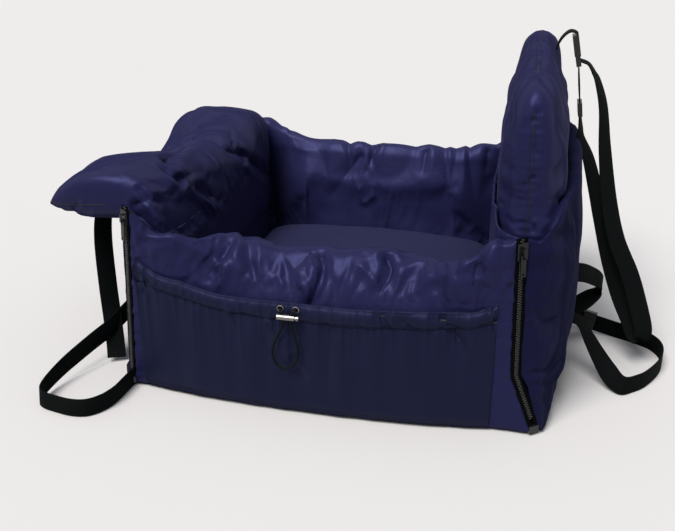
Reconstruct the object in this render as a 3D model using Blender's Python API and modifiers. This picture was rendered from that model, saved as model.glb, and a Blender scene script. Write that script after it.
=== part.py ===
"""Dog car seat: a padded tub with sleeved end pillows, corner zips, a gathered pocket and straps.

Metres, +Z up. The tub's length runs along X, its pocket faces -Y, and it stands on z = 0 with the
origin under its middle. The right pillow stands up as a backrest. The upper half of the left pillow
is folded outwards, and its hinge line runs along Y.
"""
import math

import bmesh
import bpy
from mathutils import Matrix, Vector

# Clearance between neighbouring pieces
GAP = 0.0003
SOFT_GAP = 0.0015

# Tub
TUB_LENGTH = 0.470
TUB_WIDTH = 0.470
CORNER_HEIGHT = 0.250
WALL_DIP = 0.040
WALL_THICK = 0.058
WALL_END_THICK = 0.016
WALL_NARROW_RUN = 0.055
WALL_NARROW_INSET = 0.030
WALL_NARROW_END = TUB_LENGTH / 2 - WALL_NARROW_INSET
WALL_NARROW_START = WALL_NARROW_END - WALL_NARROW_RUN
WALL_CORNER_RISE = 0.014
WALL_BULGE = 0.009
WALL_CROWN = 0.010
WALL_TAPER = 0.008
PANEL_THICK = 0.002

# Corner zips
ZIP_TURN = math.radians(35)
ZIP_X = TUB_LENGTH / 2
ZIP_LEAN = 0.015
ZIP_FOOT_X = ZIP_X + ZIP_LEAN
ZIP_KINK_Z = 0.079
ZIP_KINK_SHIFT = 0.007
ZIP_KINK_X = ZIP_X + ZIP_KINK_SHIFT
ZIP_KINK_LEAN = 0.031
ZIP_KINK_FOOT_X = ZIP_KINK_X + ZIP_KINK_LEAN
ZIP_TOP_Z = CORNER_HEIGHT
ZIP_FOOT_Z = 0.0140
ZIP_TAPE_WIDTH = 0.0080
ZIP_TAPE_THICK = 0.0020
ZIP_SLOT = 0.0024
SLIDER_WIDTH = 0.0130
SLIDER_LENGTH = 0.0200
SLIDER_PLATE = 0.0016
SLIDER_DROP = 0.0150
SLIDER_Z = ZIP_TOP_Z - SLIDER_DROP
ARCH_WIDTH = 0.0030
ARCH_LENGTH = 0.0100
ARCH_HEIGHT = 0.0044
ARCH_WALL = 0.0014
PULL_LENGTH = 0.0270
PULL_WIDTH = 0.0070
PULL_THICK = 0.0014
PULL_EYE_WIDTH = 0.0040
PULL_EYE_LENGTH = 0.0050
PULL_TIP_EYE = 0.0016
PULL_TIP_SIDES = 8
ZIP_BOX_WIDTH = 0.0130
ZIP_BOX_HEIGHT = 0.0090
ZIP_BOX_DEPTH = 0.0050

# End pillows and their sleeves
PILLOW_DEPTH = 0.094
PILLOW_OFFSET = 0.0045
PILLOW_CENTRE = TUB_LENGTH / 2 + PILLOW_OFFSET
PILLOW_SIDE_CLEAR = 0.005
PILLOW_WIDTH = TUB_WIDTH - (WALL_END_THICK + PILLOW_SIDE_CLEAR) * 2
PILLOW_TOP = 0.420
PILLOW_FOOT_DEPTH = 0.074
PILLOW_CREST = 0.026
PILLOW_CREST_DEPTH = 0.066
PILLOW_SIDE_DEPTH = 0.048
PILLOW_TOP_TAPER_SHARE = 0.04
CREST_GATHERS = 6
CREST_GATHER_DEPTH = 0.0035
SLEEVE_THICK = 0.015
SLEEVE_EDGE_THICK = 0.004
SLEEVE_FULLNESS = 0.004
SLEEVE_REACH = PILLOW_CENTRE + PILLOW_DEPTH / 2 + SOFT_GAP + SLEEVE_THICK + SLEEVE_FULLNESS
SLEEVE_FOOT_TUCK = 0.020
SLEEVE_REACH_FOOT = SLEEVE_REACH - SLEEVE_FOOT_TUCK
SLEEVE_MOUTH_TUCK = 0.007
SLEEVE_REACH_MOUTH = SLEEVE_REACH - SLEEVE_MOUTH_TUCK
SLEEVE_FULL_SHARE = 0.8
SLEEVE_MOUTH_RISE = 0.030
SLEEVE_MOUTH_Z = CORNER_HEIGHT + SLEEVE_MOUTH_RISE
SLEEVE_POWER = 3.0
INNER_REACH_SHARE = 0.93
LEFT_MOUTH_POWER = 6
RIGHT_MOUTH_POWER = 2
CABIN_LENGTH = (PILLOW_CENTRE - PILLOW_DEPTH / 2 - SOFT_GAP - PANEL_THICK) * 2

# Folded upper half of the left pillow, and the tops that end under it
FOLD_RADIUS = 0.048
FOLD_RISE = 0.008
FOLD_Z = CORNER_HEIGHT + FOLD_RISE
FOLD_INSET = 0.003
FOLD_X = FOLD_INSET - TUB_LENGTH / 2
FLAP_LENGTH = 0.168
FLAP_FAR_EXTRA = 0.026
FLAP_ROOT_X = FOLD_INSET - CABIN_LENGTH / 2
FLAP_NEAR_X = FLAP_ROOT_X - FLAP_LENGTH
FLAP_FAR_X = FLAP_NEAR_X - FLAP_FAR_EXTRA
FLAP_SIDE_CLEAR = 0.004
FLAP_WIDTH = PILLOW_WIDTH - FLAP_SIDE_CLEAR * 2
FLAP_NEAR_TOP_SHARES = (0.35, 0.78, 0.84, 0.72, 0.45, 0.25, 0.06, -0.22, -0.55)
FLAP_MID_TOP_SHARES = (0.08, 0.25, 0.21, 0.00, -0.27, -0.42, -0.52, -0.68, -0.95)
FLAP_FAR_TOP_SHARES = (0.35, 0.76, 0.78, 0.66, 0.46, 0.20, -0.15, -0.60, -1.30)
FLAP_NEAR_UNDER_SHARES = (-0.35, -0.80, -0.90, -0.86, -0.82, -0.84, -0.85, -0.82, -0.66)
FLAP_MID_UNDER_SHARES = (-0.35, -0.86, -0.96, -0.93, -0.92, -0.93, -0.95, -1.00, -1.30)
FLAP_FAR_UNDER_SHARES = (-0.35, -0.80, -0.93, -0.94, -0.94, -0.97, -1.25, -1.60, -1.80)
LEFT_TOP_Z = FOLD_Z - FOLD_RADIUS
LEFT_INNER_DROP = 0.0015
LEFT_OUTER_RISE = 0.0033
LEFT_PILLOW_DROP = 0.0008
LEFT_HANG_RISE = 0.00375
LEFT_HANG_TOP_Z = LEFT_TOP_Z + LEFT_HANG_RISE

# Base
BASE_THICK = 0.0035
BASE_END_INSET = 0.007
BASE_LENGTH = (SLEEVE_REACH_FOOT - BASE_END_INSET) * 2
BASE_SIDE_INSET = 0.004
BASE_WIDTH = TUB_WIDTH - BASE_SIDE_INSET * 2
BASE_CORNER = 0.050
BOARD_THICK = 0.0035
BOARD_CORNER = 0.012
ARC_STEPS = 5

# Seat cushion
CUSHION_CLEAR = 0.0035
CUSHION_LENGTH = CABIN_LENGTH - CUSHION_CLEAR
CUSHION_WIDTH = TUB_WIDTH + WALL_BULGE - (WALL_THICK + CUSHION_CLEAR) * 2
CUSHION_EDGE = 0.046
CUSHION_CROWN = 0.036
CUSHION_DRAW = 0.006

# Pocket and its drawstring hem
POCKET_LEFT_INSET = 0.0170
POCKET_LEFT = POCKET_LEFT_INSET - TUB_LENGTH / 2
POCKET_RIGHT_INSET = 0.0195
POCKET_RIGHT = TUB_LENGTH / 2 - POCKET_RIGHT_INSET
POCKET_STANDOFF = 0.0100
POCKET_EDGE_STANDOFF = 0.0030
POCKET_TUCK_SHARE = 0.2
POCKET_SAG = 0.0030
POCKET_SAG_TURN = math.radians(135)
POCKET_GATHERS = 11
POCKET_GATHER_DEPTH = 0.0016
HEM_DIAMETER = 0.009
HEM_DROP = 0.1025
HEM_MID_Z = CORNER_HEIGHT - HEM_DROP
HEM_LEFT_RISE = 0.0045
HEM_RIGHT_RISE = 0.0005
HEM_STEPS = 20
EYELET_LEFT_X = -0.0350
EYELET_RIGHT_X = -0.0160
EYELET_RING = 0.0036
EYELET_WIRE = 0.0009
EYELET_SIDES = 12

# Drawcord and cord lock
CORD_DIAMETER = 0.0022
CORD_FIT = 0.0003
CORD_STEPS = 60
LOCK_LENGTH = 0.0215
LOCK_DIAMETER = 0.0072
LOCK_BORE = 0.0050
LOCK_X = -0.02675
LOCK_STANDOFF = 0.0110
LOCK_Y = -(TUB_WIDTH / 2 + WALL_BULGE + POCKET_STANDOFF + PANEL_THICK + LOCK_STANDOFF)
LOCK_DROP = 0.0085
LOCK_Z = HEM_MID_Z - LOCK_DROP
LOCK_STRAND_LEFT_X = -0.0300
LOCK_STRAND_RIGHT_X = -0.0210
LOCK_END_WALL = 0.0010
LOCK_PRESS = 0.0015
BUTTON_DIAMETER = 0.0062
BUTTON_LENGTH = 0.0030
STEM_FIT = 0.0002
STEM_SLOT = 0.0030
LOCK_SPRING_WIRE = 0.0005
LOCK_SPRING_TURNS = 3
LOCK_SPRING_POINTS = 8

# Webbing
WEBBING_WIDTH = 0.025
WEBBING_THICK = 0.0016

# Headrest tab, buckle and adjusters
STRAP_Y = 0.060
BUCKLE_LEAN = math.radians(12)
BUCKLE_INSET = 0.0080
BUCKLE_X = PILLOW_CENTRE + PILLOW_DEPTH / 2 - BUCKLE_INSET
BUCKLE_RISE = 0.0060
BUCKLE_TOP_Z = PILLOW_TOP + BUCKLE_RISE
BUCKLE_WIDTH = 0.0300
BUCKLE_LENGTH = 0.0260
BUCKLE_DEPTH = 0.0080
BUCKLE_WALL = 0.0016
BUCKLE_BAR = 0.0040
CLIP_LENGTH = 0.0300
CLIP_REACH = 0.0170
CLIP_SLOT = 0.0040
CLIP_BAR = 0.0040
ADJUSTER_WIDTH = 0.0310
ADJUSTER_LENGTH = 0.0180
ADJUSTER_DEPTH = 0.0060

# Colours (linear), roughness and metallic values
NAVY = (0.018, 0.018, 0.058)
NAVY_FLAT = (0.024, 0.026, 0.062)
BLACK_WEB = (0.006, 0.007, 0.007)
BLACK_ZIP = (0.008, 0.009, 0.009)
GUNMETAL = (0.30, 0.29, 0.28)
CORD_BLACK = (0.010, 0.014, 0.013)
BOARD_GREY = (0.12, 0.12, 0.12)

PARTS_NAME = "dog_car_seat"
TOOLS_NAME = "cutters"

LEFT, RIGHT = -1, 1
FRONT, REAR = -1, 1

# How near to a side of its cage a corner counts as on it
FLAT_SHARE = 0.001


def clear_scene():
    for item in list(bpy.data.objects):
        bpy.data.objects.remove(item, do_unlink=True)


def new_collection(name):
    group = bpy.data.collections.new(name)
    bpy.context.scene.collection.children.link(group)
    return group


def material(name, colour, roughness, metallic=0.0):
    """A Principled finish with one colour, roughness and metallic value."""
    finish = bpy.data.materials.new(name)
    finish.use_nodes = True
    shader = finish.node_tree.nodes["Principled BSDF"]
    shader.inputs["Base Color"].default_value = (*colour, 1.0)
    shader.inputs["Roughness"].default_value = roughness
    shader.inputs["Metallic"].default_value = metallic
    return finish


def add_mesh(name, mesh, finish, smooth=True):
    """Link a mesh as one named sub-part with its own finish."""
    part = bpy.data.objects.new(name, mesh)
    PARTS.objects.link(part)
    part.data.materials.clear()
    part.data.materials.append(finish)
    if smooth:
        part.data.shade_smooth()
        part.data.set_sharp_from_angle(angle=math.radians(40))
    return part


def bmesh_to_mesh(shape, name):
    mesh = bpy.data.meshes.new(name)
    bmesh.ops.recalc_face_normals(shape, faces=shape.faces)
    shape.to_mesh(mesh)
    shape.free()
    return mesh


def on_side(corner, side):
    """Whether a corner of a cage lies on the named side of its box."""
    reach = {"left": -corner.x, "right": corner.x, "front": -corner.y, "rear": corner.y, "under": -corner.z}
    return reach[side] > 1 - FLAT_SHARE


def cage(name, cells, place, finish, seams=()):
    """A closed soft form: a box cut into cells, its corners moved by place(u, v, w), then subdivided.

    u, v and w run from -1 to 1 along X, Y and Z. A seam is the name of a side of the box that stays
    crisp where the form is sewn to its neighbour.
    """
    shape = bmesh.new()
    bmesh.ops.create_cube(shape, size=2.0)
    for axis, count in enumerate(cells):
        along = [e for e in shape.edges if abs(e.verts[0].co[axis] - e.verts[1].co[axis]) > 1.0]
        if count > 1:
            bmesh.ops.subdivide_edges(shape, edges=along, cuts=count - 1, use_grid_fill=True)
    crease = shape.edges.layers.float.new("crease_edge")
    for side in seams:
        for edge in shape.edges:
            if all(on_side(vertex.co, side) for vertex in edge.verts):
                edge[crease] = 1.0
    for vertex in shape.verts:
        vertex.co = Vector(place(*vertex.co))
    part = add_mesh(name, bmesh_to_mesh(shape, name), finish)
    soft = part.modifiers.new("soft", "SUBSURF")
    soft.levels = 1
    soft.render_levels = 1
    return part


def sheet(name, cells, place, thickness, finish):
    """A thin panel: an open grid moved by place(u, v), given its thickness by Solidify."""
    shape = bmesh.new()
    bmesh.ops.create_grid(shape, x_segments=cells[0], y_segments=cells[1], size=1.0)
    for vertex in shape.verts:
        vertex.co = Vector(place(vertex.co.x, vertex.co.y))
    part = add_mesh(name, bmesh_to_mesh(shape, name), finish)
    shell = part.modifiers.new("thickness", "SOLIDIFY")
    shell.thickness = thickness
    shell.offset = 0.0
    return part


def catmull(points, share):
    """The point at a share from 0 to 1 along a smooth curve through the given points."""
    spans = len(points) - 1
    place = min(max(share, 0.0), 1.0) * spans
    index = min(int(place), spans - 1)
    t = place - index
    here, after = Vector(points[index]), Vector(points[index + 1])
    before = Vector(points[index - 1]) if index else here * 2 - after
    beyond = Vector(points[index + 2]) if index + 2 <= spans else after * 2 - here
    return 0.5 * (2 * here + (after - before) * t
                  + (2 * before - 5 * here + 4 * after - beyond) * t ** 2
                  + (3 * here - before - 3 * after + beyond) * t ** 3)


def webbing(name, route, sides, finish, steps=30, width=WEBBING_WIDTH, thickness=WEBBING_THICK):
    """A flat strap along a smooth route; its width points along the matching side directions."""
    def place(u, v):
        share = (u + 1) / 2
        side = catmull(sides, share).normalized()
        return catmull(route, share) + side * (v * width / 2)
    return sheet(name, (steps, 1), place, thickness, finish)


def curve_mesh(curve, name, matrix=None):
    """The evaluated mesh of a curve, with its caps welded and its place applied."""
    holder = bpy.data.objects.new(name + "_guide", curve)
    if matrix is not None:
        holder.matrix_world = matrix
    bpy.context.scene.collection.objects.link(holder)
    bpy.context.view_layer.update()
    ready = holder.evaluated_get(bpy.context.evaluated_depsgraph_get())
    mesh = bpy.data.meshes.new_from_object(ready)
    mesh.transform(holder.matrix_world)
    shape = bmesh.new()
    shape.from_mesh(mesh)
    bmesh.ops.remove_doubles(shape, verts=shape.verts, dist=0.00001)
    bmesh.ops.recalc_face_normals(shape, faces=shape.faces)
    shape.to_mesh(mesh)
    shape.free()
    mesh.name = name
    bpy.data.objects.remove(holder, do_unlink=True)
    return mesh


def tube_mesh(name, points, diameter, resolution=2):
    """A round tube with closed ends along a list of points."""
    curve = bpy.data.curves.new(name, "CURVE")
    curve.dimensions = "3D"
    curve.bevel_depth = diameter / 2
    curve.bevel_resolution = resolution
    curve.use_fill_caps = True
    curve.resolution_u = 1
    spline = curve.splines.new("POLY")
    spline.points.add(len(points) - 1)
    for point, place in zip(spline.points, points):
        point.co = (*place, 1.0)
    return curve_mesh(curve, name)


def plate_mesh(name, outlines, thickness, matrix):
    """A flat plate in its own XY plane: the first outline is its edge, the others are holes."""
    curve = bpy.data.curves.new(name, "CURVE")
    curve.dimensions = "2D"
    curve.fill_mode = "BOTH"
    curve.extrude = thickness / 2
    curve.resolution_u = 1
    for outline in outlines:
        spline = curve.splines.new("POLY")
        spline.points.add(len(outline) - 1)
        spline.use_cyclic_u = True
        for point, place in zip(spline.points, outline):
            point.co = (*place, 0.0, 1.0)
    return curve_mesh(curve, name, matrix)


def box_outline(width, height, x=0.0, y=0.0):
    """A rectangle's corners, counted from its lower left one."""
    half_width, half_height = width / 2, height / 2
    return [(x - half_width, y - half_height), (x + half_width, y - half_height),
            (x + half_width, y + half_height), (x - half_width, y + half_height)]


def round_box_outline(width, height, radius, steps=ARC_STEPS):
    """A rectangle's outline with its corners turned on arcs."""
    points = []
    corners = ((1, 1, 0), (-1, 1, 1), (-1, -1, 2), (1, -1, 3))
    for side, end, quarter in corners:
        for step in range(steps + 1):
            angle = math.pi / 2 * (quarter + step / steps)
            points.append((side * (width / 2 - radius) + radius * math.cos(angle),
                           end * (height / 2 - radius) + radius * math.sin(angle)))
    return points


def tool_object(name, mesh):
    """A hidden cutter or joiner."""
    tool = bpy.data.objects.new(name, mesh)
    TOOLS.objects.link(tool)
    tool.hide_render = True
    tool.display_type = "WIRE"
    return tool


def combine(part, tool, operation):
    step = part.modifiers.new(operation.lower(), "BOOLEAN")
    step.operation = operation
    step.solver = "EXACT"
    step.object = tool


def frame_matrix(x_axis, y_axis, z_axis, origin):
    """A placing matrix with the three given unit axes as its columns."""
    turn = Matrix((x_axis, y_axis, z_axis)).transposed().to_4x4()
    turn.translation = origin
    return turn


def set_origin(part, place):
    """Move an object's origin to its joint axis and leave its shape where it is."""
    part.data.transform(Matrix.Translation(-Vector(place)))
    part.location = place


def blend(start, end, share):
    return start + (end - start) * share


def table_value(shares, position):
    """Read a table of shares at a position from 0 to 1 along it."""
    place = position * (len(shares) - 1)
    index = min(int(place), len(shares) - 2)
    return blend(shares[index], shares[index + 1], place - index)


# Zip lines

def zip_x(side, end, z):
    """The zip's middle line: straight, but for a kink low on the front right one."""
    if side == RIGHT and end == FRONT:
        if z > ZIP_KINK_Z:
            share = (ZIP_TOP_Z - z) / (ZIP_TOP_Z - ZIP_KINK_Z)
            return blend(ZIP_X, ZIP_KINK_X, share)
        return blend(ZIP_KINK_X, ZIP_KINK_FOOT_X, 1 - z / ZIP_KINK_Z)
    return side * blend(ZIP_FOOT_X, ZIP_X, z / ZIP_TOP_Z)


def zip_axes(side, end):
    """The zip's directions: across it towards the end of the tub, and out of its face."""
    across = Vector((side * math.cos(ZIP_TURN), -end * math.sin(ZIP_TURN), 0.0))
    outward = Vector((side * math.sin(ZIP_TURN), end * math.cos(ZIP_TURN), 0.0))
    return across, outward


def zip_point(side, end, z):
    return Vector((zip_x(side, end, z), end * TUB_WIDTH / 2, z))


ZIP_SPAN = ZIP_SLOT / 2 + ZIP_TAPE_WIDTH


# Tub

def wall_end(side, end, z):
    """Where a long wall stops short of the zip's strip at that height."""
    return zip_x(side, end, z) - side * (ZIP_SPAN * math.cos(ZIP_TURN) + GAP * 3)


def wall_outer_y(u, w):
    """How far a long wall's outer face stands from the tub's middle."""
    fullness = (1 - u ** 2) * (1 - w ** 2 / 2)
    return TUB_WIDTH / 2 + WALL_BULGE * fullness


def wall_thickness(x):
    """A long wall's padding: full along the cabin, thin where it passes a pillow's narrow side."""
    share = (abs(x) - WALL_NARROW_START) / (WALL_NARROW_END - WALL_NARROW_START)
    share = min(max(share, 0.0), 1.0)
    return blend(WALL_THICK, WALL_END_THICK, math.sin(share * math.pi / 2))


def build_long_wall(name, end):
    foot = BASE_THICK + GAP

    def place(u, v, w):
        corner = CORNER_HEIGHT + WALL_CORNER_RISE
        top = blend(CORNER_HEIGHT - WALL_DIP, corner, u ** 4) - WALL_CROWN * v ** 2
        z = blend(foot, top, (w + 1) / 2)
        x = blend(wall_end(LEFT, end, z), wall_end(RIGHT, end, z), (u + 1) / 2)
        taper = WALL_TAPER * max(w, 0) ** 2 * (1 - u ** 2)
        thickness = wall_thickness(x) - taper
        outer = wall_outer_y(u, w)
        y = outer - thickness * (1 - v * end) / 2
        return x, end * y, z

    return cage(name, (9, 2, 4), place, SATIN, ("left", "right", "under"))


def build_base():
    """The flat underside panel, and the stiff board that the cushion lies on."""
    lift = Matrix.Translation((0, 0, BASE_THICK / 2))
    outline = round_box_outline(BASE_LENGTH, BASE_WIDTH, BASE_CORNER)
    add_mesh("base_panel", plate_mesh("base_panel", [outline], BASE_THICK, lift), FLAT_SATIN, False)
    board_z = BASE_THICK + GAP + BOARD_THICK / 2
    board = round_box_outline(CUSHION_LENGTH, CUSHION_WIDTH, BOARD_CORNER)
    lift = Matrix.Translation((0, 0, board_z))
    add_mesh("base_board", plate_mesh("base_board", [board], BOARD_THICK, lift), BOARD, False)


def build_cushion():
    """The seat cushion: crowned, with its sides drawn in between its corners."""
    foot = BASE_THICK + BOARD_THICK + GAP * 2

    def place(u, v, w):
        x = u * (CUSHION_LENGTH / 2 - CUSHION_DRAW * (1 - v ** 2) * u ** 2)
        y = v * (CUSHION_WIDTH / 2 - CUSHION_DRAW * (1 - u ** 2) * v ** 2)
        crown = CUSHION_CROWN * (1 - u ** 4) * (1 - v ** 4)
        return x, y, foot + (CUSHION_EDGE + crown) * (w + 1) / 2

    part = cage("seat_cushion", (7, 6, 2), place, FLAT_SATIN)
    set_origin(part, (0, 0, foot))


# Sleeves and pillows

def super_arc(turn, power):
    """A quarter turn's cosine and sine, squared off by the power."""
    cosine = abs(math.cos(turn)) ** (2 / power)
    sine = math.copysign(abs(math.sin(turn)) ** (2 / power), math.sin(turn))
    return cosine, sine


def sleeve_reach(z):
    """How far an end's outer face stands out: it tucks in at the foot and a little at the mouth."""
    low = min(z / ZIP_KINK_Z, 1.0)
    high = max((z / CORNER_HEIGHT - SLEEVE_FULL_SHARE) / (1 - SLEEVE_FULL_SHARE), 0.0)
    reach = blend(SLEEVE_REACH_FOOT, SLEEVE_REACH, math.sin(low * math.pi / 2))
    return blend(reach, SLEEVE_REACH_MOUTH, min(high, 1.0))


def build_sleeve_outer(name, side, mouth, mouth_power):
    """An end's padded outer panel, wrapped round from one corner zip to the other."""
    foot = BASE_THICK + GAP
    reach_y = TUB_WIDTH / 2 - ZIP_SPAN * math.sin(ZIP_TURN)
    pillow_side = PILLOW_CENTRE + PILLOW_DEPTH / 2 + SOFT_GAP

    def place(u, v, w):
        turn = v * math.pi / 2
        cosine, sine = super_arc(turn, SLEEVE_POWER)
        top = blend(CORNER_HEIGHT + WALL_CORNER_RISE, mouth, 1 - v ** mouth_power)
        z = blend(foot, top, (w + 1) / 2)
        end = FRONT if v < 0 else REAR
        start = side * zip_x(side, end, z) + ZIP_SPAN * math.cos(ZIP_TURN) + GAP * 3
        thickness = blend(SLEEVE_THICK, SLEEVE_EDGE_THICK, v ** 4)
        outer = sleeve_reach(z)
        inner = min(outer - SLEEVE_EDGE_THICK, max(pillow_side, outer - thickness))
        share = (u * side + 1) / 2
        reach = blend(inner, outer, share)
        across = blend(reach_y - SLEEVE_EDGE_THICK, reach_y, share)
        return side * (start + (reach - start) * cosine), across * sine, z

    return cage(name, (1, 10, 4), place, SATIN, ("front", "rear", "under"))


def build_sleeve_inner(name, side, top):
    """The thin panel between a pillow and the cabin; it hugs the pillow and ends near the zips."""
    foot = BASE_THICK + GAP

    def place(u, v):
        turn = u * INNER_REACH_SHARE
        depth = blend(PILLOW_DEPTH, PILLOW_SIDE_DEPTH, turn ** 4)
        x = PILLOW_CENTRE - depth / 2 - SOFT_GAP - PANEL_THICK / 2
        return side * x, turn * PILLOW_WIDTH / 2, blend(foot, top, (v + 1) / 2)

    return sheet(name, (12, 2), place, PANEL_THICK, SATIN)


def pillow_depth(z):
    """A standing pillow's depth: narrow in the sleeve's foot, full, then drawn in to its crest."""
    low = min(z / (CORNER_HEIGHT / 2), 1.0)
    depth = blend(PILLOW_FOOT_DEPTH, PILLOW_DEPTH, math.sin(low * math.pi / 2))
    high = max((z - CORNER_HEIGHT) / (PILLOW_TOP - CORNER_HEIGHT), 0.0)
    return blend(depth, PILLOW_CREST_DEPTH, high ** 3)


def build_backrest():
    """The standing pillow: drawn in at its narrow sides, gathered across its crest."""
    foot = BASE_THICK + GAP

    def place(u, v, w):
        share = (w + 1) / 2
        ridge = PILLOW_CREST * (1 - abs(u)) - PILLOW_CREST
        gather = CREST_GATHER_DEPTH * math.cos(v * CREST_GATHERS * math.pi) * (1 - v ** 4)
        z = blend(foot, PILLOW_TOP, share) + (ridge + gather) * share ** 4
        depth = blend(pillow_depth(z), PILLOW_SIDE_DEPTH, v ** 4)
        x = PILLOW_CENTRE + u * (depth / 2 + gather * share ** 3)
        y = v * PILLOW_WIDTH / 2 * (1 - PILLOW_TOP_TAPER_SHARE * share ** 6)
        return x, y, z

    part = cage("backrest_pillow", (2, 12, 6), place, SATIN)
    set_origin(part, (PILLOW_CENTRE, 0, foot))


def build_left_pillow_foot():
    """The half of the left pillow that stays in its sleeve."""
    foot = BASE_THICK + GAP

    def place(u, v, w):
        z = blend(foot, LEFT_TOP_Z - LEFT_PILLOW_DROP, (w + 1) / 2)
        depth = blend(pillow_depth(z), PILLOW_SIDE_DEPTH, v ** 4)
        return -PILLOW_CENTRE + u * depth / 2, v * PILLOW_WIDTH / 2, z

    return cage("left_pillow_foot", (2, 6, 3), place, SATIN)


def flap_height(u, v, top):
    """The folded pillow's top or underside, read between its near, middle and far tables."""
    near = FLAP_NEAR_TOP_SHARES if top else FLAP_NEAR_UNDER_SHARES
    mid = FLAP_MID_TOP_SHARES if top else FLAP_MID_UNDER_SHARES
    far = FLAP_FAR_TOP_SHARES if top else FLAP_FAR_UNDER_SHARES
    share = (1 - u) / 2
    edge = near if v < 0 else far
    value = blend(table_value(mid, share), table_value(edge, share), v ** 2)
    return FOLD_Z + FOLD_RADIUS * value


def build_flap():
    """The upper half of the left pillow, folded outwards; its root is round about the fold."""
    def place(u, v, w):
        tip = blend(FLAP_NEAR_X, FLAP_FAR_X, (v + 1) / 2)
        x = blend(tip, FLAP_ROOT_X, (u + 1) / 2)
        top, under = flap_height(u, v, True), flap_height(u, v, False)
        return x, v * FLAP_WIDTH / 2, blend(under, top, (w + 1) / 2)

    part = cage("folding_flap", (8, 8, 2), place, SATIN)
    set_origin(part, (FOLD_X, 0, FOLD_Z))


# Pocket

def hem_z(x):
    """The hem's height: lowest in the middle, where the drawcord pulls it down."""
    if x < LOCK_X:
        return HEM_MID_Z + HEM_LEFT_RISE * ((LOCK_X - x) / (LOCK_X - POCKET_LEFT)) ** 2
    return HEM_MID_Z + HEM_RIGHT_RISE * ((x - LOCK_X) / (POCKET_RIGHT - LOCK_X)) ** 2


def pocket_y(x, low):
    """Where the pocket panel stands in front of the wall; low is 0 at the hem and 1 at the foot."""
    centre = (POCKET_LEFT + POCKET_RIGHT) / 2
    fullness = 1 - abs((x - centre) / (POCKET_RIGHT - centre)) ** 3
    edge = blend(POCKET_EDGE_STANDOFF, GAP - PANEL_THICK / 4, min(low / POCKET_TUCK_SHARE, 1))
    standoff = blend(edge, POCKET_STANDOFF, fullness)
    sag = POCKET_SAG * fullness * math.sin(low * POCKET_SAG_TURN)
    wall = TUB_WIDTH / 2 + WALL_BULGE * (1 - (x / ZIP_X) ** 2)
    return -(wall + standoff + sag + PANEL_THICK)


def build_pocket():
    """The gathered pocket panel, and the hem tunnel along its top."""
    foot = BASE_THICK + GAP

    def place(u, v):
        x = blend(POCKET_LEFT, POCKET_RIGHT, (u + 1) / 2)
        top = hem_z(x) - HEM_DIAMETER / 2 - GAP
        z = blend(foot, top, (v + 1) / 2)
        low = (1 - v) / 2
        gather = POCKET_GATHER_DEPTH * math.sin(u * POCKET_GATHERS * math.pi) * (1 - low) ** 2
        return x, pocket_y(x, low) - gather, z

    sheet("pocket_panel", (26, 4), place, PANEL_THICK, FLAT_SATIN)

    span = [blend(POCKET_LEFT, POCKET_RIGHT, step / HEM_STEPS) for step in range(HEM_STEPS + 1)]
    route = [(x, pocket_y(x, 0), hem_z(x)) for x in span]
    hem = add_mesh("pocket_hem", tube_mesh("pocket_hem", route, HEM_DIAMETER, 3), FLAT_SATIN)
    bore = CORD_DIAMETER + CORD_FIT * 2
    first, last = Vector(route[0]), Vector(route[-1])
    before = first + (first - Vector(route[1])).normalized() * HEM_DIAMETER
    beyond = last + (last - Vector(route[-2])).normalized() * HEM_DIAMETER
    cut_route = [before] + route + [beyond]
    combine(hem, tool_object("hem_bore", tube_mesh("hem_bore", cut_route, bore)), "DIFFERENCE")
    for side, x in (("left", EYELET_LEFT_X), ("right", EYELET_RIGHT_X)):
        y, z = pocket_y(x, 0), hem_z(x)
        mouth = [(x, y, z), (x, y - HEM_DIAMETER, z)]
        name = "hem_mouth_" + side
        combine(hem, tool_object(name, tube_mesh(name, mouth, bore)), "DIFFERENCE")
        build_eyelet("pocket_eyelet_" + side, x, y - HEM_DIAMETER / 2 - EYELET_WIRE - GAP, z)

    clear = CORD_DIAMETER * 1.5
    runs = (("left", [x for x in span if x < EYELET_LEFT_X - clear] + [EYELET_LEFT_X - clear]),
            ("right", [EYELET_RIGHT_X + clear] + [x for x in span if x > EYELET_RIGHT_X + clear]))
    for side, places in runs:
        points = [(x, pocket_y(x, 0), hem_z(x)) for x in places]
        name = "hem_cord_" + side
        add_mesh(name, tube_mesh(name, points, CORD_DIAMETER), CORD)


def build_eyelet(name, x, y, z):
    """A metal ring sewn on the hem round the cord's way out."""
    points = []
    ring = bpy.data.curves.new(name, "CURVE")
    ring.dimensions = "3D"
    ring.bevel_depth = EYELET_WIRE
    ring.bevel_resolution = 1
    spline = ring.splines.new("POLY")
    for step in range(EYELET_SIDES):
        angle = math.tau * step / EYELET_SIDES
        points.append((x + EYELET_RING * math.cos(angle), y, z + EYELET_RING * math.sin(angle)))
    spline.points.add(EYELET_SIDES - 1)
    spline.use_cyclic_u = True
    for point, place in zip(spline.points, points):
        point.co = (*place, 1.0)
    add_mesh(name, curve_mesh(ring, name), METAL)


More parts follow.
